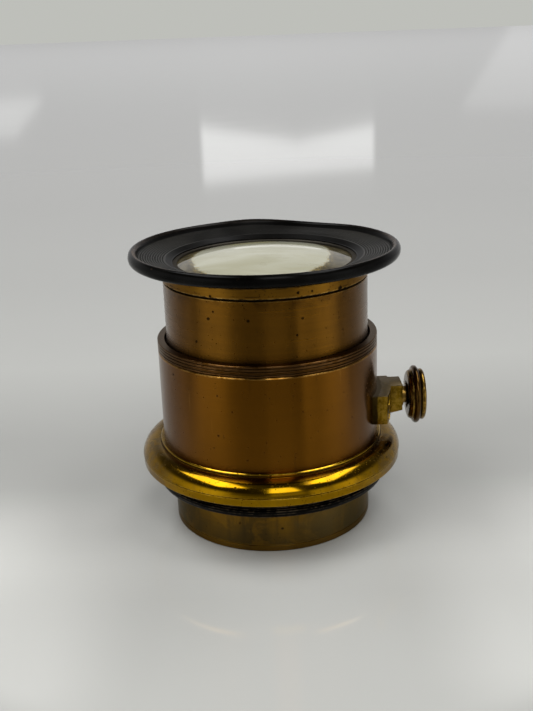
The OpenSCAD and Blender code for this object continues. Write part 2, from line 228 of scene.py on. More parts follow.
# --------------------------------------------------------------------------
# turned brass: lacquer or bare metal with lathe lines, blotches, specks, wear
# --------------------------------------------------------------------------
def brass(name, base, dark, rough=0.3, aniso=0.0, metal=1.0, axis=2, line=0.35, line_bump=0.5e-6,
          blotch=0.3, blotch_scale=70.0, speck=0.0, speck_size=0.34, tint=(0.9, 0.88, 0.85),
          edge=None, dirt=(0.012, 0.008, 0.004), spots=(), tarnish=None, extra=None,
          rough_var=0.08, coat=None, grain=0.0):
    mt = Mat(name)
    c = mt.obj
    x, y, z = mt.xyz(c)
    comp = [x, y, z]
    across = [comp[i] for i in range(3) if i != axis]
    r = mt.hyp(*across)
    along = comp[axis]
    w = mt.add(along, r)
    # lathe lines: long round the axis, fine along it
    fine = mt.vec(mt.mul(across[0], 22.0), mt.mul(across[1], 22.0), mt.mul(w, 1700.0))
    wide = mt.vec(mt.mul(across[0], 30.0), mt.mul(across[1], 30.0), mt.mul(w, 520.0))
    lines = mt.add(mt.mul(mt.noise(fine, 1.0, 1.0, 0.5), 0.55), mt.mul(mt.noise(wide, 1.0, 1.0, 0.5), 0.45))
    big = mt.noise(c, blotch_scale, 3.0, 0.55, 0.4)
    tone = mt.add(mt.mul(mt.sub(big, 0.5), blotch * 2.2), mt.mul(mt.sub(lines, 0.5), line))
    tone = mt.add(tone, 0.5)
    col = mt.mix(mt.step(tone, 0.0, 1.0), dark, base)
    rough_out = mt.add(mt.mul(mt.sub(big, 0.5), rough_var), rough)
    rough_out = mt.add(mt.mul(mt.sub(lines, 0.5), rough_var * 0.8), rough_out)
    if tarnish:
        tcol, amount, tscale = tarnish
        tn = mt.noise(mt.vadd(c, (0.013, 0.031, 0.007)), tscale, 5.0, 0.66, 0.8)
        tm = mt.step(tn, 0.62 - amount * 0.2, 0.80 - amount * 0.2)
        tm = mt.mul(tm, 0.85)
        col = mt.mix(tm, col, tcol)
        rough_out = mt.add(rough_out, mt.mul(tm, 0.14))
    height = mt.mul(lines, 1.0)
    if edge is not None:
        ed = mt.attr("edge")
        rag = mt.noise(c, 900.0, 3.0, 0.7)
        worn = mt.mul(mt.step(ed, 0.15, 0.8), mt.step(rag, 0.34, 0.62))
        col = mt.mix(mt.mul(worn, 0.85), col, edge)
        cav = mt.mul(mt.step(ed, -0.05, -0.6), mt.step(rag, 0.2, 0.5, 0.55, 1.0))
        col = mt.mix(mt.mul(cav, 0.9), col, dirt)
        rough_out = mt.add(rough_out, mt.mul(cav, 0.3))
    if speck > 0:
        jit = mt.noise(c, 2600.0, 2.0, 0.5)
        d, vc = mt.voro(c, 420.0)
        sel = mt.xyz(vc)[0]
        on = mt.step(sel, 1.0 - speck, 1.0 - speck * 0.72)
        dd = mt.add(d, mt.mul(mt.sub(jit, 0.5), 0.22))
        pit = mt.mul(mt.step(dd, speck_size * 0.62, speck_size * 0.3), on)
        d2, vc2 = mt.voro(mt.vadd(c, (0.2, 0.1, 0.3)), 1500.0)
        on2 = mt.step(mt.xyz(vc2)[1], 1.0 - speck * 1.3, 1.0 - speck)
        pit2 = mt.mul(mt.mul(mt.step(d2, 0.34, 0.16), on2), 0.75)
        pit = mt.math("MAXIMUM", pit, pit2)
        col = mt.mix(mt.mul(pit, 0.9), col, dirt)
        rough_out = mt.add(rough_out, mt.mul(pit, 0.35))
        height = mt.sub(height, mt.mul(pit, 4.0))
    if spots:
        sm = spot_mask(mt, spots, c, mt.noise(c, 1500.0, 3.0, 0.6))
        col = mt.mix(mt.mul(sm, 0.93), col, dirt)
        rough_out = mt.add(rough_out, mt.mul(sm, 0.35))
        height = mt.sub(height, mt.mul(sm, 8.0))
    if extra:
        col, rough_out, height = extra(mt, col, rough_out, height)
    if grain > 0:
        gr = mt.noise(c, 3400.0, 3.0, 0.65)
        height = mt.add(height, mt.mul(gr, grain))
    mt.set(Base_Color=col, Roughness=rough_out, Metallic=metal)
    mt.b.inputs["Specular Tint"].default_value = (*tint, 1.0)
    if aniso:
        mt.b.inputs["Anisotropic"].default_value = aniso
        mt.b.inputs["Anisotropic Rotation"].default_value = 0.25
        tg = mt.n("ShaderNodeTangent", direction_type="RADIAL", axis="XYZ"[axis])
        mt.l(tg.outputs[0], mt.b.inputs["Tangent"])
    if coat:
        mt.b.inputs["Coat Weight"].default_value = 1.0
        mt.b.inputs["Coat IOR"].default_value = coat[0]
        mt.b.inputs["Coat Roughness"].default_value = coat[1]
    mt.l(mt.bump(height, line_bump), mt.b.inputs["Normal"])
    return mt.m


# --------------------------------------------------------------------------
# mesh helpers
# --------------------------------------------------------------------------
def arc(cr, cz, r, a0, a1, n):
    """Points on a circle about (cr, cz), angles in degrees, n steps."""
    return [(cr + r * math.cos(math.radians(a0 + (a1 - a0) * i / n)),
             cz + r * math.sin(math.radians(a0 + (a1 - a0) * i / n))) for i in range(n + 1)]


def rounded(prof, closed=True, fillet=0.1):
    """Rounds every corner of a profile. Returns points, outward normals, and an edge value:
    1 on an outer corner, -1 in an inner corner, 0 elsewhere."""
    pts = [np.array(p[:2], float) for p in prof]
    fil = [p[2] if len(p) > 2 else fillet for p in prof]
    n = len(pts)
    loop = pts if closed else pts + [np.array([0.0, pts[-1][1]]), np.array([0.0, pts[0][1]])]
    area = sum(a[0] * b[1] - b[0] * a[1] for a, b in zip(loop, loop[1:] + loop[:1]))
    sign = 1.0 if area > 0 else -1.0
    left = lambda d: np.array([-d[1], d[0]])
    P, N, E = [], [], []
    for i in range(n):
        p = pts[i]
        if not closed and i in (0, n - 1):
            d = pts[1] - p if i == 0 else p - pts[-2]
            d /= np.linalg.norm(d)
            nn = -sign * left(d)
            if p[0] < 1e-9:
                nn = np.array([0.0, math.copysign(1.0, nn[1])])
            P.append(p), N.append(nn), E.append(0.0)
            continue
        a, b = pts[i - 1], pts[(i + 1) % n]
        l1, l2 = np.linalg.norm(p - a), np.linalg.norm(b - p)
        d1, d2 = (p - a) / l1, (b - p) / l2
        cr = d1[0] * d2[1] - d1[1] * d2[0]
        turn = math.atan2(cr, float(d1 @ d2))
        if abs(turn) < math.radians(13):
            d = d1 + d2
            d /= np.linalg.norm(d)
            P.append(p), N.append(-sign * left(d)), E.append(0.0)
            continue
        t = min(fil[i] * math.tan(abs(turn) / 2), 0.42 * l1, 0.42 * l2)
        rad = t / math.tan(abs(turn) / 2)
        s = 1.0 if turn > 0 else -1.0
        start = p - d1 * t
        k = max(2, int(math.ceil(abs(turn) / math.radians(24))))
        for j in range(k + 1):
            al = abs(turn) * j / k
            q = start + rad * (math.sin(al) * d1 + (1 - math.cos(al)) * s * left(d1))
            d = math.cos(al) * d1 + math.sin(al) * s * left(d1)
            P.append(q), N.append(-sign * left(d)), E.append(s * sign)
    # rings close to each corner, so that its edge value stays near it
    P2, N2, E2 = [], [], []
    m = len(P)
    for i in range(m):
        P2.append(P[i]), N2.append(N[i]), E2.append(E[i])
        if not closed and i == m - 1:
            break
        k = (i + 1) % m
        gap = np.linalg.norm(P[k] - P[i])
        if gap < 0.45 or (E[i] == 0 and E[k] == 0):
            continue
        d = min(0.22, gap * 0.35)
        for t, e in ((d / gap, E[i]), (1 - d / gap, E[k])):
            if e != 0:
                nn = N[i] * (1 - t) + N[k] * t
                P2.append(P[i] * (1 - t) + P[k] * t), N2.append(nn / np.linalg.norm(nn)), E2.append(0.0)
    return np.array(P2), np.array(N2), np.array(E2)


def lathe(name, prof, seg=288, closed=True, fillet=0.1, axis="Z", origin=(0, 0, 0), warp=None, raw=None):
    """A revolved solid from a profile in mm, with exact normals kept as custom normals."""
    P, N, E = raw if raw is not None else rounded(prof, closed, fillet)
    n = len(P)
    ang = np.arange(seg) * 2 * math.pi / seg
    ca, sa = np.cos(ang), np.sin(ang)
    pole = [(not closed) and P[i][0] < 1e-9 for i in range(n)]
    co, nm, ed, idx = [], [], [], []
    for i in range(n):
        if pole[i]:
            idx.append([len(co)] * seg)
            co.append((0.0, 0.0, P[i][1]))
            nm.append((0.0, 0.0, N[i][1]))
            ed.append(E[i])
        else:
            idx.append(list(range(len(co), len(co) + seg)))
            for j in range(seg):
                co.append((P[i][0] * ca[j], P[i][0] * sa[j], P[i][1]))
                nm.append((N[i][0] * ca[j], N[i][0] * sa[j], N[i][1]))
                ed.append(E[i])
    co, nm = np.array(co), np.array(nm)
    faces = []
    for i in range(n if closed else n - 1):
        k = (i + 1) % n
        for j in range(seg):
            m = (j + 1) % seg
            f = [idx[i][j], idx[i][m], idx[k][m], idx[k][j]]
            g = []
            for v in f:
                if v not in g:
                    g.append(v)
            if len(g) > 2:
                faces.append(g)
    f0 = faces[len(faces) // 3]
    a, b, c = (co[v] for v in f0[:3])
    if np.cross(b - a, c - a) @ nm[f0].mean(0) < 0:
        faces = [f[::-1] for f in faces]
    if warp is not None:
        co, nm = warp(co, nm)
    if axis == "X":
        co = np.stack([co[:, 2], -co[:, 1], co[:, 0]], 1)
        nm = np.stack([nm[:, 2], -nm[:, 1], nm[:, 0]], 1)
        co = np.stack([co[:, 0], co[:, 1], co[:, 2]], 1)
        faces = [f[::-1] for f in faces]
        a, b, c = (co[v] for v in faces[len(faces) // 3][:3])
        if np.cross(b - a, c - a) @ nm[faces[len(faces) // 3]].mean(0) < 0:
            faces = [f[::-1] for f in faces]
    co = co + np.array(origin)
    me = bpy.data.meshes.new(name)
    me.from_pydata((co * MM).tolist(), [], faces)
    me.polygons.foreach_set("use_smooth", np.ones(len(me.polygons), bool))
    at = me.attributes.new("edge", "FLOAT", "POINT")
    at.data.foreach_set("value", np.array(ed, np.float32))
    me.update()
    nm = nm / np.linalg.norm(nm, axis=1, keepdims=True)
    me.normals_split_custom_set_from_vertices(nm.tolist())
    ob = bpy.data.objects.new(name, me)
    scene.collection.objects.link(ob)
    ob["seg"] = seg
    return ob


def cut(ob, cutters, prof, closed=True, fillet=0.1):
    """Cuts holes in a lathe piece and puts its exact normals back afterwards."""
    P, N, E = rounded(prof, closed, fillet)
    for c in cutters:
        mod = ob.modifiers.new("cut", "BOOLEAN")
        mod.object = c
        mod.operation = "DIFFERENCE"
        mod.solver = "EXACT"
    dg = bpy.context.evaluated_depsgraph_get()
    me = bpy.data.meshes.new_from_object(ob.evaluated_get(dg))
    ob.modifiers.clear()
    for c in cutters:
        bpy.data.objects.remove(c)
    old = ob.data
    ob.data = me
    bpy.data.meshes.remove(old)
    me.name = ob.name
    nv, nl, nf = len(me.vertices), len(me.loops), len(me.polygons)
    co = np.zeros(nv * 3)
    me.vertices.foreach_get("co", co)
    co = co.reshape(-1, 3) / MM
    lv = np.zeros(nl, int)
    me.loops.foreach_get("vertex_index", lv)
    fn = np.zeros(nf * 3)
    me.polygons.foreach_get("normal", fn)
    fn = fn.reshape(-1, 3)
    start, total = np.zeros(nf, int), np.zeros(nf, int)
    me.polygons.foreach_get("loop_start", start)
    me.polygons.foreach_get("loop_total", total)
    lf = np.repeat(np.arange(nf), total)
    A, B = P, np.roll(P, -1, 0)
    NA, NB = N, np.roll(N, -1, 0)
    v = co[lv]
    r = np.hypot(v[:, 0], v[:, 1])
    ux, uy = v[:, 0] / r, v[:, 1] / r
    q = np.stack([r, v[:, 2]], 1)
    f = fn[lf]
    fr = np.stack([f[:, 0] * ux + f[:, 1] * uy, f[:, 2]], 1)
    best, res = np.full(nl, -2.0), f.copy()
    for i in range(len(A)):
        ab = B[i] - A[i]
        L2 = ab @ ab
        if L2 < 1e-12:
            continue
        t = np.clip(((q - A[i]) @ ab) / L2, 0, 1)
        dist = np.linalg.norm(q - (A[i] + t[:, None] * ab), axis=1)
        nn = NA[i] * (1 - t[:, None]) + NB[i] * t[:, None]
        nn /= np.linalg.norm(nn, axis=1, keepdims=True)
        seg_n = NA[i] + NB[i]
        seg_n = seg_n / np.linalg.norm(seg_n)
        score = fr @ seg_n
        ok = (dist < 0.012) & (score > best) & (score > 0.8)
        best[ok] = score[ok]
        res[ok] = np.stack([nn[ok, 0] * ux[ok], nn[ok, 0] * uy[ok], nn[ok, 1]], 1)
    res /= np.linalg.norm(res, axis=1, keepdims=True)
    me.polygons.foreach_set("use_smooth", np.ones(nf, bool))
    me.normals_split_custom_set(res.tolist())
    return ob


def cutter_cyl(r, x0, x1, z, az=0.0):
    bm = bmesh.new()
    bmesh.ops.create_cone(bm, cap_ends=True, segments=64, radius1=r * MM, radius2=r * MM, depth=(x1 - x0) * MM)
    m = (Matrix.Rotation(math.radians(az), 4, "Z") @ Matrix.Translation(((x0 + x1) / 2 * MM, 0, z * MM))
         @ Matrix.Rotation(math.radians(90), 4, "Y"))
    bmesh.ops.transform(bm, matrix=m, verts=bm.verts)
    me = bpy.data.meshes.new("cutter")
    bm.to_mesh(me)
    bm.free()
    ob = bpy.data.objects.new("cutter", me)
    scene.collection.objects.link(ob)
    return ob


def cutter_box(lo, hi):
    bm = bmesh.new()
    bmesh.ops.create_cube(bm, size=1.0)
    for v in bm.verts:
        v.co = Vector([(lo[i] if v.co[i] < 0 else hi[i]) * MM for i in range(3)])
    me = bpy.data.meshes.new("cutter")
    bm.to_mesh(me)
    bm.free()
    ob = bpy.data.objects.new("cutter", me)
    scene.collection.objects.link(ob)
    return ob


def place(ob, body, slot, material, *nodes):
    ob.data.materials.clear()
    ob.data.materials.append(material)
    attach(ob, body)
    if nodes:
        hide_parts(*nodes)
    return ob


def vg(r, z, w, d):
    """V groove in an outside profile, going up."""
    return [(r, z - w / 2, 0.06), (r - d, z, 0.05), (r, z + w / 2, 0.06)]


# --------------------------------------------------------------------------
# materials
# --------------------------------------------------------------------------
TUBE_SPOTS = [(-15.46, -24.89, 67.72, 0.55), (-4.84, -28.9, 67.95, 0.5), (7.85, -28.23, 63.44, 0.42),
              (7.69, -28.27, 57.36, 0.3), (-14.0, -25.7, 69.9, 0.32), (20.5, -20.9, 62.3, 0.25)]
BARREL_SPOTS = [(-13.98, -28.79, 47.35, 0.3), (-10.12, -30.36, 43.23, 0.32), (8.37, -30.89, 46.15, 0.2),
                (22.65, -22.6, 37.33, 0.24), (-15.63, -27.93, 31.86, 0.22)]
CELL_SPOTS = [(19.79, -21.74, 74.03, 0.9), (21.23, -20.34, 73.1, 1.1), (8.39, -28.18, 74.8, 0.5),
              (12.09, -26.8, 74.83, 0.4), (-14.57, -25.5, 74.1, 0.5)]


def streaks(mt, col, rough_out, height):
    """Faint upright drag marks in the lacquer."""
    x, y, z = mt.xyz(mt.obj)
    v = mt.vec(mt.mul(x, 900.0), mt.mul(y, 900.0), mt.mul(z, 55.0))
    n = mt.noise(v, 1.0, 3.0, 0.6)
    col = mt.mix(mt.step(n, 0.62, 0.78, 0.0, 0.35), col, (0.045, 0.018, 0.002))
    n2 = mt.noise(mt.vadd(v, (3.1, 7.7, 1.3)), 1.0, 2.0, 0.5)
    col = mt.mix(mt.step(n2, 0.7, 0.8, 0.0, 0.3), col, (0.33, 0.16, 0.03))
    return col, rough_out, height


def tube_marks(mt, col, rough_out, height):
    col, rough_out, height = streaks(mt, col, rough_out, height)
    z = mt.xyz(mt.obj)[2]
    # dark upright ticks of grime along the tube, and a ragged darker band just under the cell
    x, y, z = mt.xyz(mt.obj)
    tick = mt.noise(mt.vec(mt.mul(x, 1300.0), mt.mul(y, 1300.0), mt.mul(z, 150.0)), 1.0, 2.0, 0.55)
    col = mt.mix(mt.step(tick, 0.70, 0.77, 0.0, 0.6), col, (0.022, 0.010, 0.003))
    n = mt.noise(mt.obj, 260.0, 4.0, 0.65, 0.5)
    top = mt.mul(mt.step(z, 0.0695, 0.0728), mt.step(n, 0.42, 0.62))
    col = mt.mix(mt.mul(top, 0.5), col, (0.03, 0.014, 0.004))
    return col, rough_out, height


def cell_marks(mt, col, rough_out, height):
    z = mt.xyz(mt.obj)[2]
    n = mt.noise(mt.vmul(mt.obj, (1.0, 1.0, 0.6)), 520.0, 5.0, 0.72, 0.6)
    # partly dirt, partly painted shadow: the foot of the cell is darkened along its joint with the tube
    seam = mt.step(mt.add(z, mt.mul(mt.sub(n, 0.5), 0.0016)), 0.07388, 0.07350)
    dash = mt.noise(mt.vmul(mt.obj, (1.0, 1.0, 0.2)), 420.0, 3.0, 0.7)
    dl = mt.mul(mt.band(mt.add(z, mt.mul(mt.sub(n, 0.5), 0.0006)), 0.07428, 0.07446, 0.00008), mt.step(dash, 0.50, 0.56))
    seam = mt.math("MAXIMUM", mt.mul(seam, mt.step(dash, 0.30, 0.50, 0.5, 1.0)), mt.mul(dl, 0.8))
    seam2 = mt.mul(mt.step(mt.add(z, mt.mul(mt.sub(n, 0.5), -0.0016)), 0.0761, 0.0767), 0.75)
    m = mt.math("MAXIMUM", seam, seam2)
    inner = mt.step(mt.hyp(*mt.xyz(mt.obj)[:2]), 0.0291, 0.0289)
    col = mt.mix(mt.mul(m, 0.94), col, (0.008, 0.006, 0.004))
    col = mt.mix(inner, col, (0.060, 0.054, 0.044))
    rough_out = mt.add(rough_out, mt.mul(m, 0.3))
    height = mt.sub(height, mt.mul(m, 5.0))
    return col, rough_out, height


def rear_marks(mt, col, rough_out, height):
    n = mt.noise(mt.vadd(mt.obj, (0.4, 0.2, 0.1)), 95.0, 4.0, 0.6, 0.7)
    m = mt.step(n, 0.53, 0.62)
    col = mt.mix(mt.mul(m, 0.4), col, (0.22, 0.108, 0.010))
    x, y, z = mt.xyz(mt.obj)
    wear = mt.noise(mt.vec(mt.mul(x, 420.0), mt.mul(y, 420.0), mt.mul(z, 26.0)), 1.0, 3.0, 0.6)
    col = mt.mix(mt.step(wear, 0.56, 0.74, 0.0, 0.4), col, (0.25, 0.135, 0.016))
    col = mt.mix(mt.step(wear, 0.44, 0.28, 0.0, 0.4), col, (0.045, 0.030, 0.012))
    n2 = mt.noise(mt.vadd(mt.obj, (0.1, 0.7, 0.3)), 60.0, 3.0, 0.6, 0.4)
    col = mt.mix(mt.step(n2, 0.56, 0.74, 0.0, 0.45), col, (0.085, 0.072, 0.034))
    grey = mt.mul(mt.step(x, 0.002, 0.018), mt.step(n2, 0.38, 0.55, 0.45, 1.0))
    col = mt.mix(mt.mul(grey, 0.6), col, (0.078, 0.062, 0.028))
    low = mt.step(z, 0.0022, 0.0018)
    col = mt.mix(mt.mul(low, 0.6), col, (0.13, 0.065, 0.008))
    top = mt.mul(mt.step(z, 0.0122, 0.0131), 0.5)
    col = mt.mix(top, col, (0.09, 0.078, 0.06))
    return col, rough_out, height


def bead_marks(mt, col, rough_out, height):
    # grey patina in patches over the bead
    n = mt.noise(mt.vadd(mt.obj, (0.25, 0.05, 0.6)), 130.0, 5.0, 0.68, 0.9)
    m = mt.step(n, 0.55, 0.72)
    col = mt.mix(mt.mul(m, 0.45), col, (0.095, 0.055, 0.012))
    rough_out = mt.add(rough_out, mt.mul(m, 0.10))
    x, y, z = mt.xyz(mt.obj)
    # painted reflection: greyer patches kept to the left and right sides, where the bead is seen at a grazing angle
    side = mt.step(mt.math("ABSOLUTE", x), 0.024, 0.036)
    n2 = mt.noise(mt.obj, 330.0, 4.0, 0.65, 0.6)
    painted_side_sheen = mt.mul(side, mt.step(n2, 0.40, 0.62))
    col = mt.mix(mt.mul(painted_side_sheen, 0.55), col, (0.115, 0.088, 0.05))
    rough_out = mt.add(rough_out, mt.mul(painted_side_sheen, 0.16))
    return col, rough_out, height


M = {}
M["lacquered_brass"] = brass("lacquered_brass_m", (0.140, 0.0530, 0.0006), (0.105, 0.0390, 0.0005), rough=0.22, aniso=0.93,
                             metal=0.92, line=0.6, line_bump=0.4e-6, blotch=0.2, blotch_scale=38, speck=0.03,
                             spots=BARREL_SPOTS, tint=(1.0, 1.0, 1.0), edge=(0.32, 0.17, 0.035), extra=streaks,
                             rough_var=0.03)
M["collar_brass"] = brass("collar_brass_m", (0.066, 0.027, 0.003), (0.034, 0.013, 0.0015), rough=0.25, aniso=0.7,
                          line=0.5, line_bump=0.4e-6, blotch=0.3, blotch_scale=60, speck=0.03,
                          tint=(0.8, 0.78, 0.74), edge=(0.105, 0.052, 0.018), rough_var=0.03)
M["tube_brass"] = brass("tube_brass_m", (0.150, 0.0655, 0.0065), (0.100, 0.0440, 0.0055), rough=0.27, aniso=0.95,
                        line=0.95, line_bump=0.5e-6, blotch=0.25, blotch_scale=45, speck=0.05, spots=TUBE_SPOTS,
                        tint=(1.0, 1.0, 1.0), edge=(0.32, 0.18, 0.04), extra=tube_marks, rough_var=0.03)
M["cell_brass"] = brass("cell_brass_m", (0.22, 0.105, 0.010), (0.13, 0.060, 0.007), rough=0.36, aniso=0.8,
                        line=0.6, line_bump=0.6e-6, blotch=0.5, blotch_scale=120, speck=0.16, speck_size=0.42,
                        spots=CELL_SPOTS, tint=(0.8, 0.76, 0.7), edge=(0.40, 0.24, 0.06), extra=cell_marks,
                        rough_var=0.04)
M["polished_brass"] = brass("polished_brass_m", (0.31, 0.172, 0.0030), (0.20, 0.100, 0.0016), rough=0.115, aniso=0.0,
                            line=0.2, line_bump=0.06e-6, blotch=0.6, blotch_scale=90, speck=0.3, speck_size=0.3,
                            tint=(0.92, 0.9, 0.86), edge=(0.40, 0.24, 0.02), dirt=(0.03, 0.016, 0.003),
                            extra=bead_marks, rough_var=0.05)
M["aged_brass"] = brass("aged_brass_m", (0.140, 0.074, 0.009), (0.066, 0.042, 0.013), rough=0.31, aniso=0.75,
                        line=0.5, line_bump=0.4e-6, blotch=1.1, blotch_scale=50, speck=0.05,
                        tint=(0.7, 0.68, 0.62), edge=(0.22, 0.13, 0.02), extra=rear_marks,
                        dirt=(0.02, 0.014, 0.006), rough_var=0.05)
def bracket_marks(mt, col, rough_out, height):
    x, y, z = mt.xyz(mt.obj)
    n = mt.noise(mt.obj, 700.0, 4.0, 0.68, 0.6)
    jit = mt.mul(mt.sub(n, 0.5), 0.0012)
    # painted shade: the foot is darkened where it meets the barrel, standing for the shadow in the gap there
    seam = mt.step(mt.add(mt.hyp(x, y), jit), 0.0336, 0.0331)
    col = mt.mix(mt.mul(seam, 0.9), col, (0.020, 0.013, 0.004))
    rough_out = mt.add(rough_out, mt.mul(seam, 0.25))
    top = mt.mul(mt.step(mt.add(z, mt.mul(jit, 0.3)), 0.03890, 0.03902), mt.step(n, 0.3, 0.5, 0.7, 1.0))
    col = mt.mix(mt.mul(top, 0.85), col, (0.082, 0.066, 0.042))
    rough_out = mt.add(rough_out, mt.mul(top, 0.12))
    return col, rough_out, height


M["bracket_brass"] = brass("bracket_brass_m", (0.150, 0.084, 0.0016), (0.095, 0.052, 0.0014), rough=0.36, aniso=0.0,
                           line=0.15, line_bump=0.4e-6, blotch=0.5, blotch_scale=120, speck=0.06, speck_size=0.3,
                           extra=bracket_marks,
                           tint=(0.9, 0.86, 0.8), edge=(0.25, 0.15, 0.02), dirt=(0.03, 0.02, 0.01), grain=0.8,
                           rough_var=0.1)
M["knob_brass"] = brass("knob_brass_m", (0.105, 0.054, 0.010), (0.040, 0.020, 0.005), rough=0.2, aniso=0.5, axis=0,
                        line=0.6, line_bump=0.4e-6, blotch=0.6, blotch_scale=150, speck=0.05,
                        tint=(0.92, 0.9, 0.88), edge=(0.28, 0.17, 0.03), dirt=(0.012, 0.008, 0.005), rough_var=0.05)
M["screw_brass"] = brass("screw_brass_m", (0.26, 0.155, 0.035), (0.14, 0.08, 0.018), rough=0.3, aniso=0.0, axis=0,
                         line=0.4, line_bump=0.4e-6, blotch=0.3, blotch_scale=260, speck=0.05, edge=None)


def simple(name, base, dark, rough, metal=0.0, scale=400.0, bump=4e-6, spec=0.5, rough_var=0.1, coat=0.0):
    mt = Mat(name)
    n = mt.noise(mt.obj, scale, 4.0, 0.6)
    n2 = mt.noise(mt.obj, scale * 0.13, 3.0, 0.6)
    f = mt.add(mt.mul(n, 0.55), mt.mul(n2, 0.45))
    mt.set(Base_Color=mt.mix(mt.step(f, 0.3, 0.7), dark, base),
           Roughness=mt.add(mt.mul(mt.sub(f, 0.5), rough_var * 2), rough), Metallic=metal)
    mt.b.inputs["Specular IOR Level"].default_value = spec
    if coat:
        mt.b.inputs["Coat Weight"].default_value = coat
        mt.b.inputs["Coat Roughness"].default_value = 0.12
    mt.l(mt.bump(n, bump), mt.b.inputs["Normal"])
    return mt.m


M["blued_steel"] = simple("blued_steel_m", (0.060, 0.062, 0.070), (0.024, 0.025, 0.030), 0.34, 1.0, 700.0, 2e-6)
M["felt"] = simple("felt_m", (0.032, 0.018, 0.012), (0.010, 0.006, 0.005), 0.95, 0.0, 2600.0, 60e-6, 0.2)
M["blackened_brass"] = simple("blackened_brass_m", (0.030, 0.026, 0.022), (0.012, 0.011, 0.010), 0.58, 0.0, 500.0, 4e-6, 0.4)


def black_lacquer():
    mt = Mat("black_lacquer_m")
    c = mt.obj
    x, y, z = mt.xyz(c)
    ed = mt.attr("edge")
    rag = mt.noise(c, 800.0, 4.0, 0.7)
    big = mt.noise(c, 90.0, 4.0, 0.6, 0.4)
    base = mt.mix(mt.step(big, 0.35, 0.7), (0.0009, 0.0008, 0.0006), (0.0030, 0.0026, 0.0019))
    worn = mt.mul(mt.step(ed, 0.1, 0.8), mt.step(mt.add(mt.mul(rag, 0.6), mt.mul(big, 0.4)), 0.44, 0.58))
    col = mt.mix(mt.mul(worn, 0.7), base, (0.085, 0.064, 0.040))
    lines = mt.noise(mt.vec(mt.mul(x, 30.0), mt.mul(y, 30.0), mt.mul(z, 1500.0)), 1.0, 1.0, 0.5)
    mt.set(Base_Color=col, Roughness=mt.add(mt.mul(mt.sub(big, 0.5), 0.18), 0.33), Metallic=mt.mul(worn, 0.5))
    mt.b.inputs["Specular IOR Level"].default_value = 0.03
    mt.l(mt.bump(mt.add(mt.mul(rag, 0.8), lines), 1.0e-6), mt.b.inputs["Normal"])
    return mt.m


M["black_lacquer"] = black_lacquer()


def hood_black():
    """Japanned brass: semi-gloss black, fine turned lines in the dish with painted glints on their crests, lip worn to
    a warm grey.
    """
    mt = Mat("hood_black_m")
    c = mt.obj
    x, y, z = mt.xyz(c)
    r = mt.hyp(x, y)
    ed = mt.attr("edge")
    big = mt.noise(c, 75.0, 4.0, 0.62, 0.6)
    mid = mt.noise(c, 420.0, 4.0, 0.66, 0.4)
    fine = mt.noise(c, 2400.0, 3.0, 0.65)
    base = mt.mix(mt.step(big, 0.32, 0.68), (0.0014, 0.0012, 0.0010), (0.0036, 0.0033, 0.0028))
    # dust-grey bloom in the dish
    bloom = mt.mul(mt.band(r, 0.0279, 0.0363, 0.0006), mt.step(mid, 0.35, 0.7, 0.25, 1.0))
    base = mt.mix(mt.mul(bloom, 0.2), base, (0.007, 0.0068, 0.0060))
    # worn inner lip of the rim
    rag = mt.add(mt.mul(mid, 0.6), mt.mul(fine, 0.4))
    lip = mt.mul(mt.band(mt.add(r, mt.mul(mt.sub(rag, 0.5), 0.0007)), 0.03625, 0.03745, 0.0002),
                 mt.mul(mt.step(z, 0.0812, 0.0818), mt.step(y, 0.016, -0.004, 0.12, 1.0)))
    lip = mt.mul(lip, mt.step(mt.add(mt.mul(rag, 0.7), mt.mul(big, 0.3)), 0.40, 0.56))
    # painted highlight: the crests of the turned grooves in the dish are painted lighter as glints, most at the left
    # and right sides
    painted_ridge_glint = mt.mul(mt.band(r, 0.0282, 0.0361, 0.0002), mt.step(ed, 0.1, 0.8))
    painted_ridge_glint = mt.mul(painted_ridge_glint, mt.step(big, 0.35, 0.6, 0.45, 1.0))
    painted_ridge_glint = mt.mul(painted_ridge_glint, mt.step(mt.math("ABSOLUTE", x), 0.016, 0.030, 0.28, 1.0))
    base = mt.mix(mt.mul(painted_ridge_glint, 0.8), base, (0.044, 0.042, 0.037))
    col = mt.mix(mt.mul(lip, 0.72), base, (0.105, 0.078, 0.062))
    # small chips on the outside of the rim
    outer = mt.mul(mt.step(r, 0.0380, 0.0384), mt.step(mid, 0.66, 0.74))
    col = mt.mix(mt.mul(outer, 0.5), col, (0.07, 0.045, 0.028))
    rough = mt.add(mt.mul(mt.sub(big, 0.5), 0.12), 0.17)
    rough = mt.add(rough, mt.mul(mt.band(r, 0.0262, 0.0363, 0.0004), 0.16))
    rough = mt.add(rough, mt.mul(lip, 0.2))
    lines = mt.noise(mt.vec(mt.mul(x, 22.0), mt.mul(y, 22.0), mt.mul(mt.add(z, r), 1500.0)), 1.0, 1.0, 0.5)
    mt.set(Base_Color=col, Roughness=rough, Metallic=0.0)
    mt.b.inputs["Specular IOR Level"].default_value = 0.05
    h = mt.add(mt.mul(lines, 1.0), mt.mul(mid, 0.8))
    mt.l(mt.bump(h, 1.4e-6), mt.b.inputs["Normal"])
    return mt.m


M["hood_black"] = hood_black()


def glass_clear(name, colour=(0.93, 0.96, 0.94), rough=0.01):
    mt = Mat(name)
    n = mt.noise(mt.obj, 160.0, 3.0, 0.6)
    smear = mt.step(n, 0.5, 0.8)
    mt.set(Base_Color=mt.mix(mt.mul(smear, 0.12), colour, (0.86, 0.86, 0.80)),
           Roughness=mt.add(mt.mul(smear, 0.05), rough), Metallic=0.0)
    mt.b.inputs["Transmission Weight"].default_value = 1.0
    mt.b.inputs["IOR"].default_value = 1.52
    return mt.m


M["optical_glass"] = glass_clear("optical_glass_m")


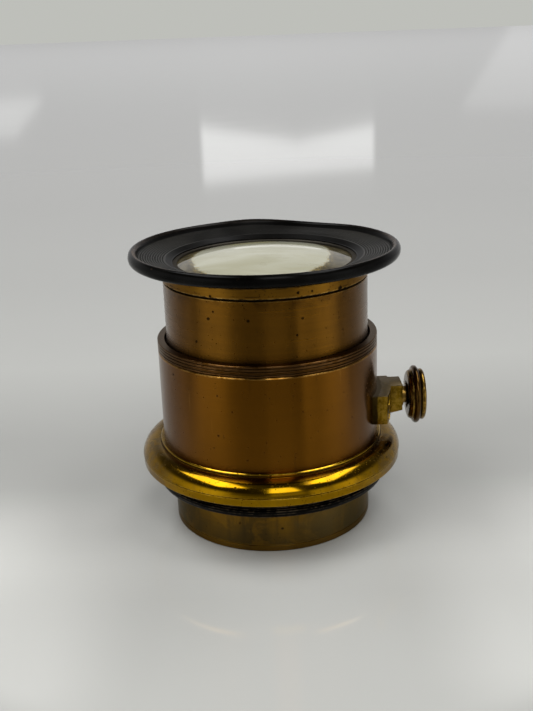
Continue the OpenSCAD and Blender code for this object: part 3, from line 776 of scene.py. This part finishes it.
def haze_masks(mt):
    """The separated zone of the cemented pair: 1 inside, ragged towards the rim."""
    c = mt.obj
    x, y, z = mt.xyz(c)
    rag = mt.noise(mt.vmul(c, (1.0, 0.75, 1.0)), 330.0, 5.0, 0.7, 0.8)
    wave = mt.noise(c, 70.0, 3.0, 0.6, 0.3)
    ex, ey = mt.mul(mt.add(x, 0.0007), 1 / 0.0203), mt.mul(mt.sub(y, 0.0004), 1 / 0.0268)
    d = mt.hyp(ex, ey)
    d = mt.add(d, mt.mul(mt.sub(rag, 0.5), 0.11))
    d = mt.add(d, mt.mul(mt.sub(wave, 0.5), 0.16))
    return x, y, z, d, rag, wave


def crown():
    mt = Mat("front_glass_m")
    x, y, z, d, rag, wave = haze_masks(mt)
    white = mt.step(d, 1.0, 0.965)
    soft = mt.noise(mt.vmul(mt.obj, (0.5, 1.6, 1.0)), 60.0, 3.0, 0.55, 1.2)
    cream = mt.mix(mt.step(soft, 0.35, 0.68), (0.425, 0.412, 0.295), (0.490, 0.482, 0.375))
    # yellowed patch on the left far side
    yd = mt.hyp(mt.mul(mt.add(x, 0.004), 1 / 0.0088), mt.mul(mt.sub(y, 0.0165), 1 / 0.0062))
    yel = mt.step(mt.add(yd, mt.mul(mt.sub(wave, 0.5), 0.8)), 1.12, 0.75)
    cream = mt.mix(mt.mul(yel, 0.75), cream, (0.50, 0.455, 0.225))
    # thin drifting veins
    vein = mt.noise(mt.vmul(mt.obj, (0.35, 2.2, 1.0)), 120.0, 4.0, 0.6, 1.6)
    vm = mt.mul(mt.band(vein, 0.545, 0.562, 0.006), mt.step(mt.add(x, 0.006), 0.0, 0.008))
    cream = mt.mix(mt.mul(vm, 0.7), cream, (0.34, 0.325, 0.235))
    # amber fringe along the ragged outline, grey-brown rim outside it
    fr = mt.band(d, 0.955, 1.035, 0.012)
    spots = mt.noise(mt.obj, 1300.0, 3.0, 0.7)
    rimc = mt.mix(mt.step(rag, 0.38, 0.62), (0.070, 0.055, 0.024), (0.155, 0.130, 0.070))
    col = mt.mix(white, rimc, cream)
    am = mt.mul(fr, mt.step(spots, 0.46, 0.6))
    col = mt.mix(mt.mul(am, 0.7), col, (0.30, 0.22, 0.07))
    dk = mt.mul(mt.band(d, 0.93, 1.05, 0.01), mt.step(spots, 0.40, 0.33))
    col = mt.mix(mt.mul(dk, 0.65), col, (0.05, 0.045, 0.025))
    mt.set(Base_Color=col, Roughness=mt.add(mt.mul(rag, 0.05), 0.03), Metallic=0.0,
           Transmission_Weight=mt.step(white, 0.0, 1.0, 0.30, 0.06))
    mt.b.inputs["IOR"].default_value = 1.52
    h = mt.add(mt.mul(white, 0.6), mt.mul(vm, 0.4))
    mt.l(mt.bump(h, 8e-6, 0.35), mt.b.inputs["Normal"])
    return mt.m


M["front_glass"] = crown()


def balsam():
    mt = Mat("balsam_m")
    x, y, z, d, rag, wave = haze_masks(mt)
    col = mt.mix(mt.step(d, 1.0, 0.95), mt.mix(rag, (0.10, 0.085, 0.05), (0.22, 0.19, 0.12)), (0.66, 0.64, 0.52))
    mt.set(Base_Color=col, Roughness=mt.add(mt.mul(rag, 0.3), 0.25), Metallic=0.0)
    mt.l(mt.bump(rag, 20e-6, 0.5), mt.b.inputs["Normal"])
    return mt.m


M["balsam"] = balsam()

# --------------------------------------------------------------------------
# turned pieces
# --------------------------------------------------------------------------
REAR = ([(27.2, 0, 0.12), (29.1, 0, 0.15), (29.4, 0.3, 0.15), (29.4, 1.75, 0.06), (29.18, 1.9, 0.05), (29.4, 2.05, 0.06),
         (29.4, 13.2, 0.05), (31, 13.2, 0.05), (31, 16.8, 0.05), (24.8, 16.8, 0.12), (24.8, 14.6, 0.12), (26.1, 14.6, 0.05),
         (26.1, 4.2, 0.1), (27.2, 4.2, 0.08)])
place(lathe("rear_sleeve", REAR), "barrel", "aged_brass", M["aged_brass"], "rear_cell")

LOCK = [(31, 13.22, 0.05), (34.05, 13.22, 0.25), (34.45, 14.15, 0.3), (34.5, 14.3, 0.1), (34.5, 15.1, 0.15), (34.42, 15.2, 0.1),
        (31, 15.2, 0.05)]
place(lathe("lock_nut", LOCK), "barrel", "black_lacquer", M["black_lacquer"], "lock_ring")

NECK = [(31, 15.2, 0.05), (33.9, 15.2, 0.08)]
for i in range(4):
    NECK += [(33.9, 15.5 + i * 0.72, 0.05), (33.6, 15.75 + i * 0.72, 0.05), (33.9, 16.0 + i * 0.72, 0.05)]
NECK += [(33.9, 18.7, 0.05), (32.04, 18.7, 0.04), (32.04, 18.6, 0.02), (30.4, 18.6, 0.05), (30.4, 16.8, 0.05), (31, 16.8, 0.05)]
place(lathe("thread_neck", NECK), "barrel", "black_lacquer", M["black_lacquer"], "mount_thread_ring")

bc, bz, br = 33.9, 20.2, 4.75
a_lo = math.degrees(math.asin((21.1 - bz) / br))
a_hi = math.degrees(math.acos((33.0 - bc) / br))
FLANGE = ([(32.02, 18.7, 0.02), (33.95, 18.7, 0.02), (33.95, 18.6, 0.02), (38.25, 18.6, 0.1), (38.4, 18.75, 0.1),
           (38.4, 20.8, 0.12), (38.28, 20.92, 0.08), (37.95, 20.92, 0.06), (37.95, 21.1, 0.06)]
          + [(*p, 0.08) for p in arc(bc, bz, br, a_lo, a_hi, 30)]
          + [(33.0, 25.3, 0.12), (32.95, 25.5, 0.1), (32.7, 25.7, 0.1), (32.02, 25.7, 0.04)])
place(lathe("bead_flange", FLANGE, seg=320), "barrel", "polished_brass", M["polished_brass"], "mount_flange")

BARREL = [(30.4, 18.6, 0.05), (32, 18.6, 0.05), (32, 52.6, 0.18), (31.75, 52.9, 0.15), (31.2, 52.9, 0.05),
          (31.2, 54.7, 0.05), (30.4, 54.7, 0.05)]
ob = lathe("barrel_shell", BARREL, seg=288)
cut(ob, [cutter_cyl(3.94, 25, 37, 34.8), cutter_cyl(1.02, 25, 37, 32.65, -15.4), cutter_cyl(1.02, 25, 37, 36.95, -15.4),
         cutter_cyl(1.01, 25, 37, 36.0, 150)], BARREL)
place(ob, "barrel", "lacquered_brass", M["lacquered_brass"], "outer_barrel")

COLLAR = ([(31.2, 52.95, 0.05), (31.65, 52.95, 0.12), (32, 53.25, 0.15)] + vg(32, 53.7, 0.36, 0.26)
          + [(32, 54.2, 0.1)] + vg(32, 54.62, 0.34, 0.24) + vg(32, 55.45, 0.34, 0.24)
          + [(32, 56.0, 0.15), (31.8, 56.2, 0.15), (30.05, 56.2, 0.1), (29.92, 56.05, 0.08), (29.92, 54.7, 0.05), (31.2, 54.7, 0.05)])
place(lathe("collar_ring", COLLAR), "barrel", "lacquered_brass", M["collar_brass"], "barrel_collar")

TUBE = [(28.1, 25.0, 0.08), (29.3, 25.0, 0.08), (29.3, 72.95, 0.1), (29.15, 73.1, 0.08), (28.1, 73.1, 0.08)]
ob = lathe("draw_tube", TUBE, seg=288)
cut(ob, [cutter_box((25.1, -3.94, 20.0), (33.1, 6.59, 46.74))], TUBE)
place(ob, "focus_tube", "tube_brass", M["tube_brass"], "focusing_tube")

CELL = [(26.1, 68.5, 0.08), (28.1, 68.5, 0.05), (28.1, 73.5, 0.05), (29.2, 73.5, 0.12), (29.45, 73.74, 0.12), (29.45, 76.55, 0.12),
        (29.3, 76.7, 0.1), (28.6, 76.7, 0.05), (28.6, 77.9, 0.05), (25.0, 77.9, 0.12), (25.0, 77.42, 0.08), (26.1, 77.15, 0.05)]
place(lathe("front_cell_ring", CELL), "focus_tube", "cell_brass", M["cell_brass"], "front_cell")

# flared hood: smooth cone, grooved dish, rolled rim; the rim has lost its truth
RC, ZC, RR = 37.35, 80.95, 1.25
R0, R1, NG = 28.3, 36.05, 11
PT = (R1 - R0 - 0.2) / NG


def oval(a0, a1, n):
    """Rim section: a roll 2.5 mm wide and 3.5 mm high."""
    return [(RC + RR * math.cos(math.radians(a0 + (a1 - a0) * i / n)),
             ZC - 0.5 + (RR + 0.5) * math.sin(math.radians(a0 + (a1 - a0) * i / n))) for i in range(n + 1)]


def dish(r):
    return 79.25 + (r - R0) * 0.178


HOOD = [(28.6, 76.7, 0.08), (30.5, 76.7, 0.2), (30.8, 76.85, 0.4)]
HOOD += [(*p, 0.05) for p in oval(-128, 150, 40)]
HOOD += [(R1, dish(R1), 0.25)]
for i in range(NG - 1, -1, -1):
    HOOD += [(R0 + 0.2 + (i + 0.92) * PT, dish(R0 + (i + 0.92) * PT), 0.06),
             (R0 + 0.2 + (i + 0.62) * PT, dish(R0 + (i + 0.62) * PT) - 0.24, 0.05),
             (R0 + 0.2 + (i + 0.30) * PT, dish(R0 + (i + 0.30) * PT), 0.06)]
HOOD += [(R0, dish(R0), 0.4), (26.6, 78.32, 0.15), (26.2, 78.25, 0.08), (26.2, 77.9, 0.05), (28.6, 77.9, 0.05)]


def bent(a):
    """Height lost or gained at the rim, mm, by azimuth in degrees from the side facing -Y towards +X."""
    g = lambda c, s: np.exp(-(((a - c + 180) % 360 - 180) / s) ** 2)
    return 0.27 * g(186, 13) - 0.86 * g(152, 22) - 0.34 * g(112, 24) - 0.10 * g(215, 18)


def hood_warp(co, nm):
    r = np.hypot(co[:, 0], co[:, 1])
    az = np.degrees(np.arctan2(co[:, 0], -co[:, 1]))
    w = np.clip((r - 29.0) / 9.0, 0, 1)
    w = w * w * (3 - 2 * w)
    dw = np.where((r > 29.0) & (r < 38.0), 6 * ((r - 29.0) / 9.0) * (1 - (r - 29.0) / 9.0) / 9.0, 0.0)
    b = bent(az)
    db = (bent(az + 0.5) - bent(az - 0.5)) / math.radians(1.0)
    # gradient of the lift, to turn the normals with it
    rad = np.stack([co[:, 0] / r, co[:, 1] / r], 1)
    tan = np.stack([-co[:, 1] / r, co[:, 0] / r], 1)
    grad = rad * (b * dw)[:, None] + tan * (w * db / r)[:, None]
    out = co.copy()
    out[:, 2] += w * b
    n2 = nm.copy()
    n2[:, 0] -= grad[:, 0] * nm[:, 2]
    n2[:, 1] -= grad[:, 1] * nm[:, 2]
    return out, n2


place(lathe("flared_hood", HOOD, seg=336, warp=hood_warp), "focus_tube", "hood_black", M["hood_black"], "front_hood")


# --------------------------------------------------------------------------
# glasses of the front pair
# --------------------------------------------------------------------------
def cap(c, r, v, up):
    """Sphere height at radius r for a vertex height v; up: the cap falls away from the vertex."""
    s = c - math.sqrt(c * c - r * r)
    return v - s if up else v + s


def cap_pts(c, v, up, r1, n=16, rev=False):
    pts = [(r1 * i / n, cap(c, r1 * i / n, v, up)) for i in range(n + 1)]
    return pts[::-1] if rev else pts


s26 = lambda c: c - math.sqrt(c * c - 26.0 ** 2)
z_top = 77.1 + s26(100)
z_mid = 75.9 - s26(92)
CROWN = cap_pts(92, z_mid, False, 26.0) + [(26.0, 77.1, 0.1)] + cap_pts(100, z_top, True, 26.0, rev=True)[1:]
place(lathe("front_crown", [(*p[:2], 0.08) for p in CROWN], closed=False, seg=192), "focus_tube", "optical_glass",
      M["front_glass"], "front_crown_glass")
z_m2 = 75.75 - s26(92)
FLINT = [(0.0, 70.6), (26.0, 70.6, 0.15), (26.0, 75.75, 0.08)] + cap_pts(92, z_m2, False, 26.0, rev=True)[1:]
place(lathe("front_flint", [(*p[:2], 0.1) for p in FLINT], closed=False, seg=160), "focus_tube", "optical_glass",
      M["optical_glass"], "front_flint_glass")
BALS = (cap_pts(92, z_m2 + 0.01, False, 25.6) + cap_pts(92, z_mid - 0.01, False, 25.6, rev=True))
place(lathe("balsam_film", [(*p[:2], 0.02) for p in BALS], closed=False, seg=160), "focus_tube", "balsam",
      M["balsam"], "balsam_layer")

# --------------------------------------------------------------------------
# focusing knob, turned about the pinion axis
# --------------------------------------------------------------------------
KX, KZ = 43.4, 34.8
KNOB = [(2.52, -2.85, 0.06), (3.4, -2.85, 0.12), (3.62, -2.65, 0.15), (3.95, -2.45, 0.2), (6.2, -2.35, 0.3), (7.0, -2.05, 0.4),
        (7.42, -1.35, 0.2), (7.5, -0.86, 0.06)]
KNOB += [(*p, 0.05) for p in arc(7.65, 0, 0.95, -100, 100, 18)]
KNOB += [(7.2, 1.0, 0.06)]
KNOB += [(*p, 0.06) for p in arc(6.85, 1.82, 0.78, -58, 82, 10)]
KNOB += [(6.3, 2.5, 0.2), (3.1, 2.66, 0.3), (2.35, 2.68, 0.08), (2.05, 2.6, 0.08), (2.05, 1.6, 0.05), (0.92, 1.6, 0.05), (0.92, 0.6, 0.04),
         (1.62, 0.6, 0.04), (1.62, -1.4, 0.04), (2.52, -1.4, 0.04)]
place(lathe("turned_knob", KNOB, seg=144, axis="X", origin=(KX, 0, KZ)), "knob", "knob_brass", M["knob_brass"], "focus_knob")


# --------------------------------------------------------------------------
# pinion bracket: curved foot and tapered stem in one casting
# --------------------------------------------------------------------------
def bracket():
    ri, ro = 32.0, 36.0
    ya, yb = -12.4, 5.0
    zb, zt = 30.5, 39.1
    sx, sy = 39.35, 3.9
    out = []
    k = 12
    out += [(ri * math.cos(a), ri * math.sin(a)) for a in np.linspace(math.asin(yb / ri), math.asin(ya / ri), 24)]
    out += [(ro * math.cos(a), ro * math.sin(a)) for a in np.linspace(math.asin(ya / ro), -math.asin(sy / ro), k)]
    out += [(sx, -sy), (sx, sy)]
    out += [(ro * math.cos(a), ro * math.sin(a)) for a in np.linspace(math.asin(sy / ro), math.asin(yb / ro), 4)]
    bm = bmesh.new()
    lower = lambda x: zb + (0.8 * max(0.0, (x - ro)) / (sx - ro))
    bot = [bm.verts.new((x * MM, y * MM, lower(x) * MM)) for x, y in out]
    top = [bm.verts.new((x * MM, y * MM, zt * MM)) for x, y in out]
    n = len(out)
    for i in range(n):
        j = (i + 1) % n
        bm.faces.new((bot[i], bot[j], top[j], top[i]))
    # caps as one face each over the whole outline
    bm.faces.new(top)
    bm.faces.new(bot[::-1])
    bmesh.ops.recalc_face_normals(bm, faces=bm.faces)
    me = bpy.data.meshes.new("pinion_housing")
    bm.to_mesh(me)
    bm.free()
    ob = bpy.data.objects.new("pinion_housing", me)
    scene.collection.objects.link(ob)
    holes = [cutter_cyl(3.2, 30, 45, KZ), cutter_cyl(3.84, 30, 33.2, KZ)]
    for s in (-1, 1):
        holes += [cutter_cyl(1.02, 30, 38, KZ + 2.15 * s, -15.4), cutter_cyl(1.82, 34.65, 39, KZ + 2.15 * s, -15.4)]
    for c in holes:
        mod = ob.modifiers.new("cut", "BOOLEAN")
        mod.object = c
        mod.operation = "DIFFERENCE"
        mod.solver = "EXACT"
    bev = ob.modifiers.new("bev", "BEVEL")
    bev.width = 0.16 * MM
    bev.segments = 3
    bev.limit_method = "ANGLE"
    bev.angle_limit = math.radians(32)
    bev.harden_normals = True
    dg = bpy.context.evaluated_depsgraph_get()
    me2 = bpy.data.meshes.new_from_object(ob.evaluated_get(dg))
    ob.modifiers.clear()
    for c in holes:
        bpy.data.objects.remove(c)
    ob.data = me2
    me2.name = "pinion_housing"
    at = me2.attributes.get("edge") or me2.attributes.new("edge", "FLOAT", "POINT")
    # wear follows the corners: small faces near an edge
    vals = np.zeros(len(me2.vertices), np.float32)
    for p in me2.polygons:
        if p.area < 0.35 * 1e-6 * 1.0 and len(p.vertices) <= 4:
            for v in p.vertices:
                vals[v] = 0.8
    at.data.foreach_set("value", vals)
    me2.polygons.foreach_set("use_smooth", np.ones(len(me2.polygons), bool))
    return ob


place(bracket(), "barrel", "bracket_brass", M["bracket_brass"], "pinion_bracket")

# --------------------------------------------------------------------------
# carried-over CAD nodes
# --------------------------------------------------------------------------
KEEP = {"rear_retaining_ring": "blackened_brass", "rear_crown_glass": "optical_glass", "rear_spacer_ring": "blackened_brass",
        "rear_flint_glass": "optical_glass", "light_seal": "felt", "stop_screw": "blued_steel", "bracket_screws": "screw_brass",
        "pinion_bush": "screw_brass", "thrust_washer": "screw_brass", "focus_pinion": "screw_brass", "knob_screw": "screw_brass",
        "guide_band": "screw_brass", "focus_rack": "screw_brass", "rack_screws": "blued_steel", "glare_stop": "blackened_brass",
        "front_retaining_ring": "blackened_brass"}
for node, key in KEEP.items():
    o = NODES[node]
    if not o.material_slots:
        o.data.materials.append(M[key])
    for s in o.material_slots:
        s.material = M[key]

# --------------------------------------------------------------------------
# stage: pale glossy table top, with shade and light painted into its tone
# --------------------------------------------------------------------------
def floor():
    bm = bmesh.new()
    bmesh.ops.create_grid(bm, x_segments=8, y_segments=8, size=30.0)
    me = bpy.data.meshes.new("floor")
    bm.to_mesh(me)
    bm.free()
    ob = bpy.data.objects.new("floor", me)
    scene.collection.objects.link(ob)
    ob.location = (0, 0, -0.00002)
    mt = Mat("floor_m")
    y = mt.xyz(mt.obj)[1]
    t = mt.lin(y, -0.2, 1.8)
    f = lambda v: (v / 1000 + 0.2) / 2.0
    g = lambda a: (a, a * 1.004, a * 0.955)
    # painted shade: the tone ramp along y darkens the table in a soft shadow band of the lens, deepest just behind its
    # middle, keeps it lighter just in front, and darkens it again far back
    tone = mt.ramp(t, [(f(-200), g(0.50)), (f(-86), g(0.478)), (f(-71), g(0.48)), (f(-54), g(0.488)), (f(-34), g(0.56)),
                       (f(-25), g(0.55)), (f(-8), g(0.466)), (f(14), g(0.404)), (f(30), g(0.365)), (f(55), g(0.35)),
                       (f(90), g(0.387)), (f(137), g(0.434)), (f(200), g(0.41)), (f(290), g(0.38)), (f(570), g(0.344)),
                       (f(1360), g(0.312)), (f(1790), g(0.30))])
    x = mt.xyz(mt.obj)[0]
    # painted light: left and right of the lens the table is brighter, beside its painted shadow
    side = mt.mul(mt.step(mt.math("ABSOLUTE", x), 0.030, 0.058), mt.band(y, -0.1, 0.004, 0.016))
    tone = mt.mix(mt.mul(side, 0.2), tone, (0.98, 0.98, 0.94))
    # nearer the camera the table falls into the shade of the room, with two brighter fans of light
    faz = mt.math("ARCTAN2", x, mt.mul(y, -1.0))
    turn = mt.lin(faz, -math.pi, math.pi)
    h = lambda a: (a + 180) / 360
    fan = mt.ramp(turn, [(h(-180), (0.0,) * 3), (h(-80), (0.05,) * 3), (h(-66), (0.9,) * 3), (h(-50), (0.9,) * 3), (h(-36), (0.1,) * 3),
                         (h(30), (0.06,) * 3), (h(34), (0.62,) * 3), (h(46), (0.42,) * 3), (h(62), (1.0,) * 3), (h(76), (1.0,) * 3),
                         (h(86), (0.1,) * 3), (h(180), (0.0,) * 3)])
    fan = mt.xyz(fan)[0]
    away = mt.mul(mt.step(mt.hyp(x, y), 0.104, 0.135), mt.step(y, 0.03, -0.03))
    tone = mt.mix(mt.mul(away, mt.sub(1.0, fan)), tone, (0.17, 0.17, 0.165))
    tone = mt.mix(mt.mul(away, mt.mul(fan, 0.75)), tone, (0.92, 0.92, 0.88))
    n = mt.noise(mt.obj, 14.0, 3.0, 0.5)
    dust = mt.noise(mt.obj, 900.0, 3.0, 0.7)
    col = mt.mix(mt.step(n, 0.3, 0.7, 0.0, 0.05), tone, (0.36, 0.36, 0.35))
    col = mt.mix(mt.step(dust, 0.74, 0.80, 0.0, 0.25), col, (0.2, 0.2, 0.19))
    mt.set(Base_Color=col, Roughness=mt.add(mt.mul(n, 0.03), 0.05), Metallic=0.0)
    mt.b.inputs["Specular IOR Level"].default_value = 0.5
    ob.data.materials.append(mt.m)
    return ob


floor()

# --------------------------------------------------------------------------
# world: dim room, two soft windows overhead, one ahead, pale wall behind
# --------------------------------------------------------------------------
def world():
    w = bpy.data.worlds.new("studio")
    scene.world = w
    mt = Mat("w", world=w)
    out = mt.n("ShaderNodeOutputWorld")
    bg = mt.n("ShaderNodeBackground")
    mt.l(bg.outputs[0], out.inputs[0])
    dx, dy, dz = mt.xyz(mt.gen)
    zz = mt.math("MAXIMUM", dz, 0.02)
    px, py = mt.math("DIVIDE", dx, zz), mt.math("DIVIDE", dy, zz)
    up = mt.step(dz, 0.05, 0.12)
    # overhead strips, in the plane of the ceiling
    left = mt.mul(mt.mul(mt.band(px, -0.78, -0.32, 0.05), mt.band(py, -0.42, 0.58, 0.08)), up)
    slant = mt.add(px, mt.mul(py, 0.2))
    right = mt.mul(mt.mul(mt.band(slant, 0.31, 0.72, 0.05), mt.band(py, -0.30, 0.66, 0.08)), up)
    # window ahead, right of the camera
    az = mt.math("ARCTAN2", dx, mt.mul(dy, -1.0))
    deg = math.radians
    front = mt.mul(mt.band(az, deg(-3.5), deg(25), deg(1.5)), mt.band(dz, 0.56, 0.90, 0.04))
    front_low = mt.mul(mt.band(az, deg(-1.5), deg(27), deg(1.5)), mt.band(dz, 0.2, 0.6, 0.05))
    # walls by azimuth, from the camera side
    el = mt.math("ARCSINE", dz)
    turn = mt.lin(az, -math.pi, math.pi)
    h = lambda a: (a + 180) / 360
    gw = lambda v: (v, v, v)
    wall = mt.ramp(turn, [(h(-180), gw(0.50)), (h(-120), gw(0.40)), (h(-84), gw(0.30)), (h(-66), gw(0.58)), (h(-50), gw(0.66)),
                          (h(-34), gw(0.26)), (h(-24), gw(0.11)), (h(30), gw(0.09)), (h(34), gw(0.42)), (h(52), gw(0.40)),
                          (h(62), gw(0.64)), (h(72), gw(0.66)), (h(84), gw(0.20)), (h(110), gw(0.26)), (h(140), gw(0.44)), (h(180), gw(0.50))])
    wall = mt.mul(mt.xyz(wall)[0], mt.add(1.0, mt.mul(mt.step(dy, 0.3, 0.0), 1.0)))
    low = mt.step(el, deg(34), deg(18))
    room = mt.add(0.065, mt.mul(low, wall))
    gap = mt.mul(mt.band(az, deg(-36), deg(-3.5), deg(2)), mt.band(dz, 0.22, 0.88, 0.04))
    room = mt.mul(room, mt.sub(1.0, mt.mul(gap, 0.5)))
    # a low panel far behind, seen mirrored in the table
    paz = mt.math("ARCTAN2", dx, dy)
    # edges of the panel lean, as seen in the table
    top_e = mt.add(deg(8.05), mt.mul(mt.sub(paz, deg(1.6)), -0.06))
    pan = mt.mul(mt.step(mt.sub(el, mt.sub(deg(7.65), mt.mul(mt.math("ABSOLUTE", mt.sub(paz, deg(2.2))), 0.17))), deg(-1.6), deg(-1.45)),
                 mt.step(mt.sub(el, top_e), deg(0.12), deg(-0.05)))
    panel = mt.mul(mt.band(paz, deg(-3.4), deg(6.6), deg(0.2)), pan)
    edge_r = mt.add(deg(11.0), mt.mul(mt.math("POWER", mt.math("MAXIMUM", mt.sub(deg(5.2), el), 0.0), 1.0), 0.62))
    wall_r = mt.mul(mt.step(mt.sub(paz, edge_r), deg(-0.2), deg(0.3)), mt.step(el, deg(5.0), deg(4.2)))
    wall_l = mt.mul(mt.step(mt.add(paz, mt.mul(mt.sub(el, deg(4.0)), 0.9)), deg(-12.6), deg(-13.0)),
                    mt.band(el, deg(3.2), deg(5.2), deg(0.25)))
    wall_r = mt.mul(wall_r, mt.step(paz, deg(40), deg(30)))
    wall_l = mt.mul(wall_l, mt.step(paz, deg(-40), deg(-30)))
    total = mt.add(room, mt.mul(left, 6.2))
    total = mt.add(total, mt.mul(right, 6.2))
    total = mt.add(total, mt.mul(front, 4.2))
    total = mt.add(total, mt.mul(front_low, 0.3))
    total = mt.add(total, mt.mul(panel, 0.52))
    total = mt.add(total, mt.mul(wall_r, 0.10))
    total = mt.add(total, mt.mul(wall_l, 0.22))
    lp = mt.n("ShaderNodeLightPath")
    shown = mt.mix(lp.outputs["Is Camera Ray"], mt.vec(total, total, total), (0.515, 0.522, 0.490))
    mt.l(shown, bg.inputs["Color"])
    bg.inputs["Strength"].default_value = 1.0
    w.cycles.sampling_method = "MANUAL"
    w.cycles.sample_map_resolution = 1024


world()

# --------------------------------------------------------------------------
# camera at the photograph's viewpoint
# --------------------------------------------------------------------------
cam = bpy.data.cameras.new("camera")
cob = bpy.data.objects.new("camera", cam)
scene.collection.objects.link(cob)
scene.camera = cob
TH, PSI, RHO = 0.3246, -0.0015, -0.0369
fw = Vector((math.sin(PSI) * math.cos(TH), math.cos(PSI) * math.cos(TH), -math.sin(TH)))
rt = Vector((math.cos(PSI), -math.sin(PSI), 0.0))
upv = rt.cross(fw)
r2 = rt * math.cos(RHO) + upv * math.sin(RHO)
u2 = upv * math.cos(RHO) - rt * math.sin(RHO)
rot = Matrix((r2, u2, -fw)).transposed().to_4x4()
cob.matrix_world = Matrix.Translation((0.0, -0.2703, 0.13953)) @ rot
cam.sensor_fit = "AUTO"
cam.sensor_width = 36.0
cam.lens = 966.2 * 36.0 / 711.0
cam.clip_start, cam.clip_end = 0.01, 100.0
cam.dof.use_dof = False

scene.view_settings.view_transform = "Standard"
scene.view_settings.look = "None"
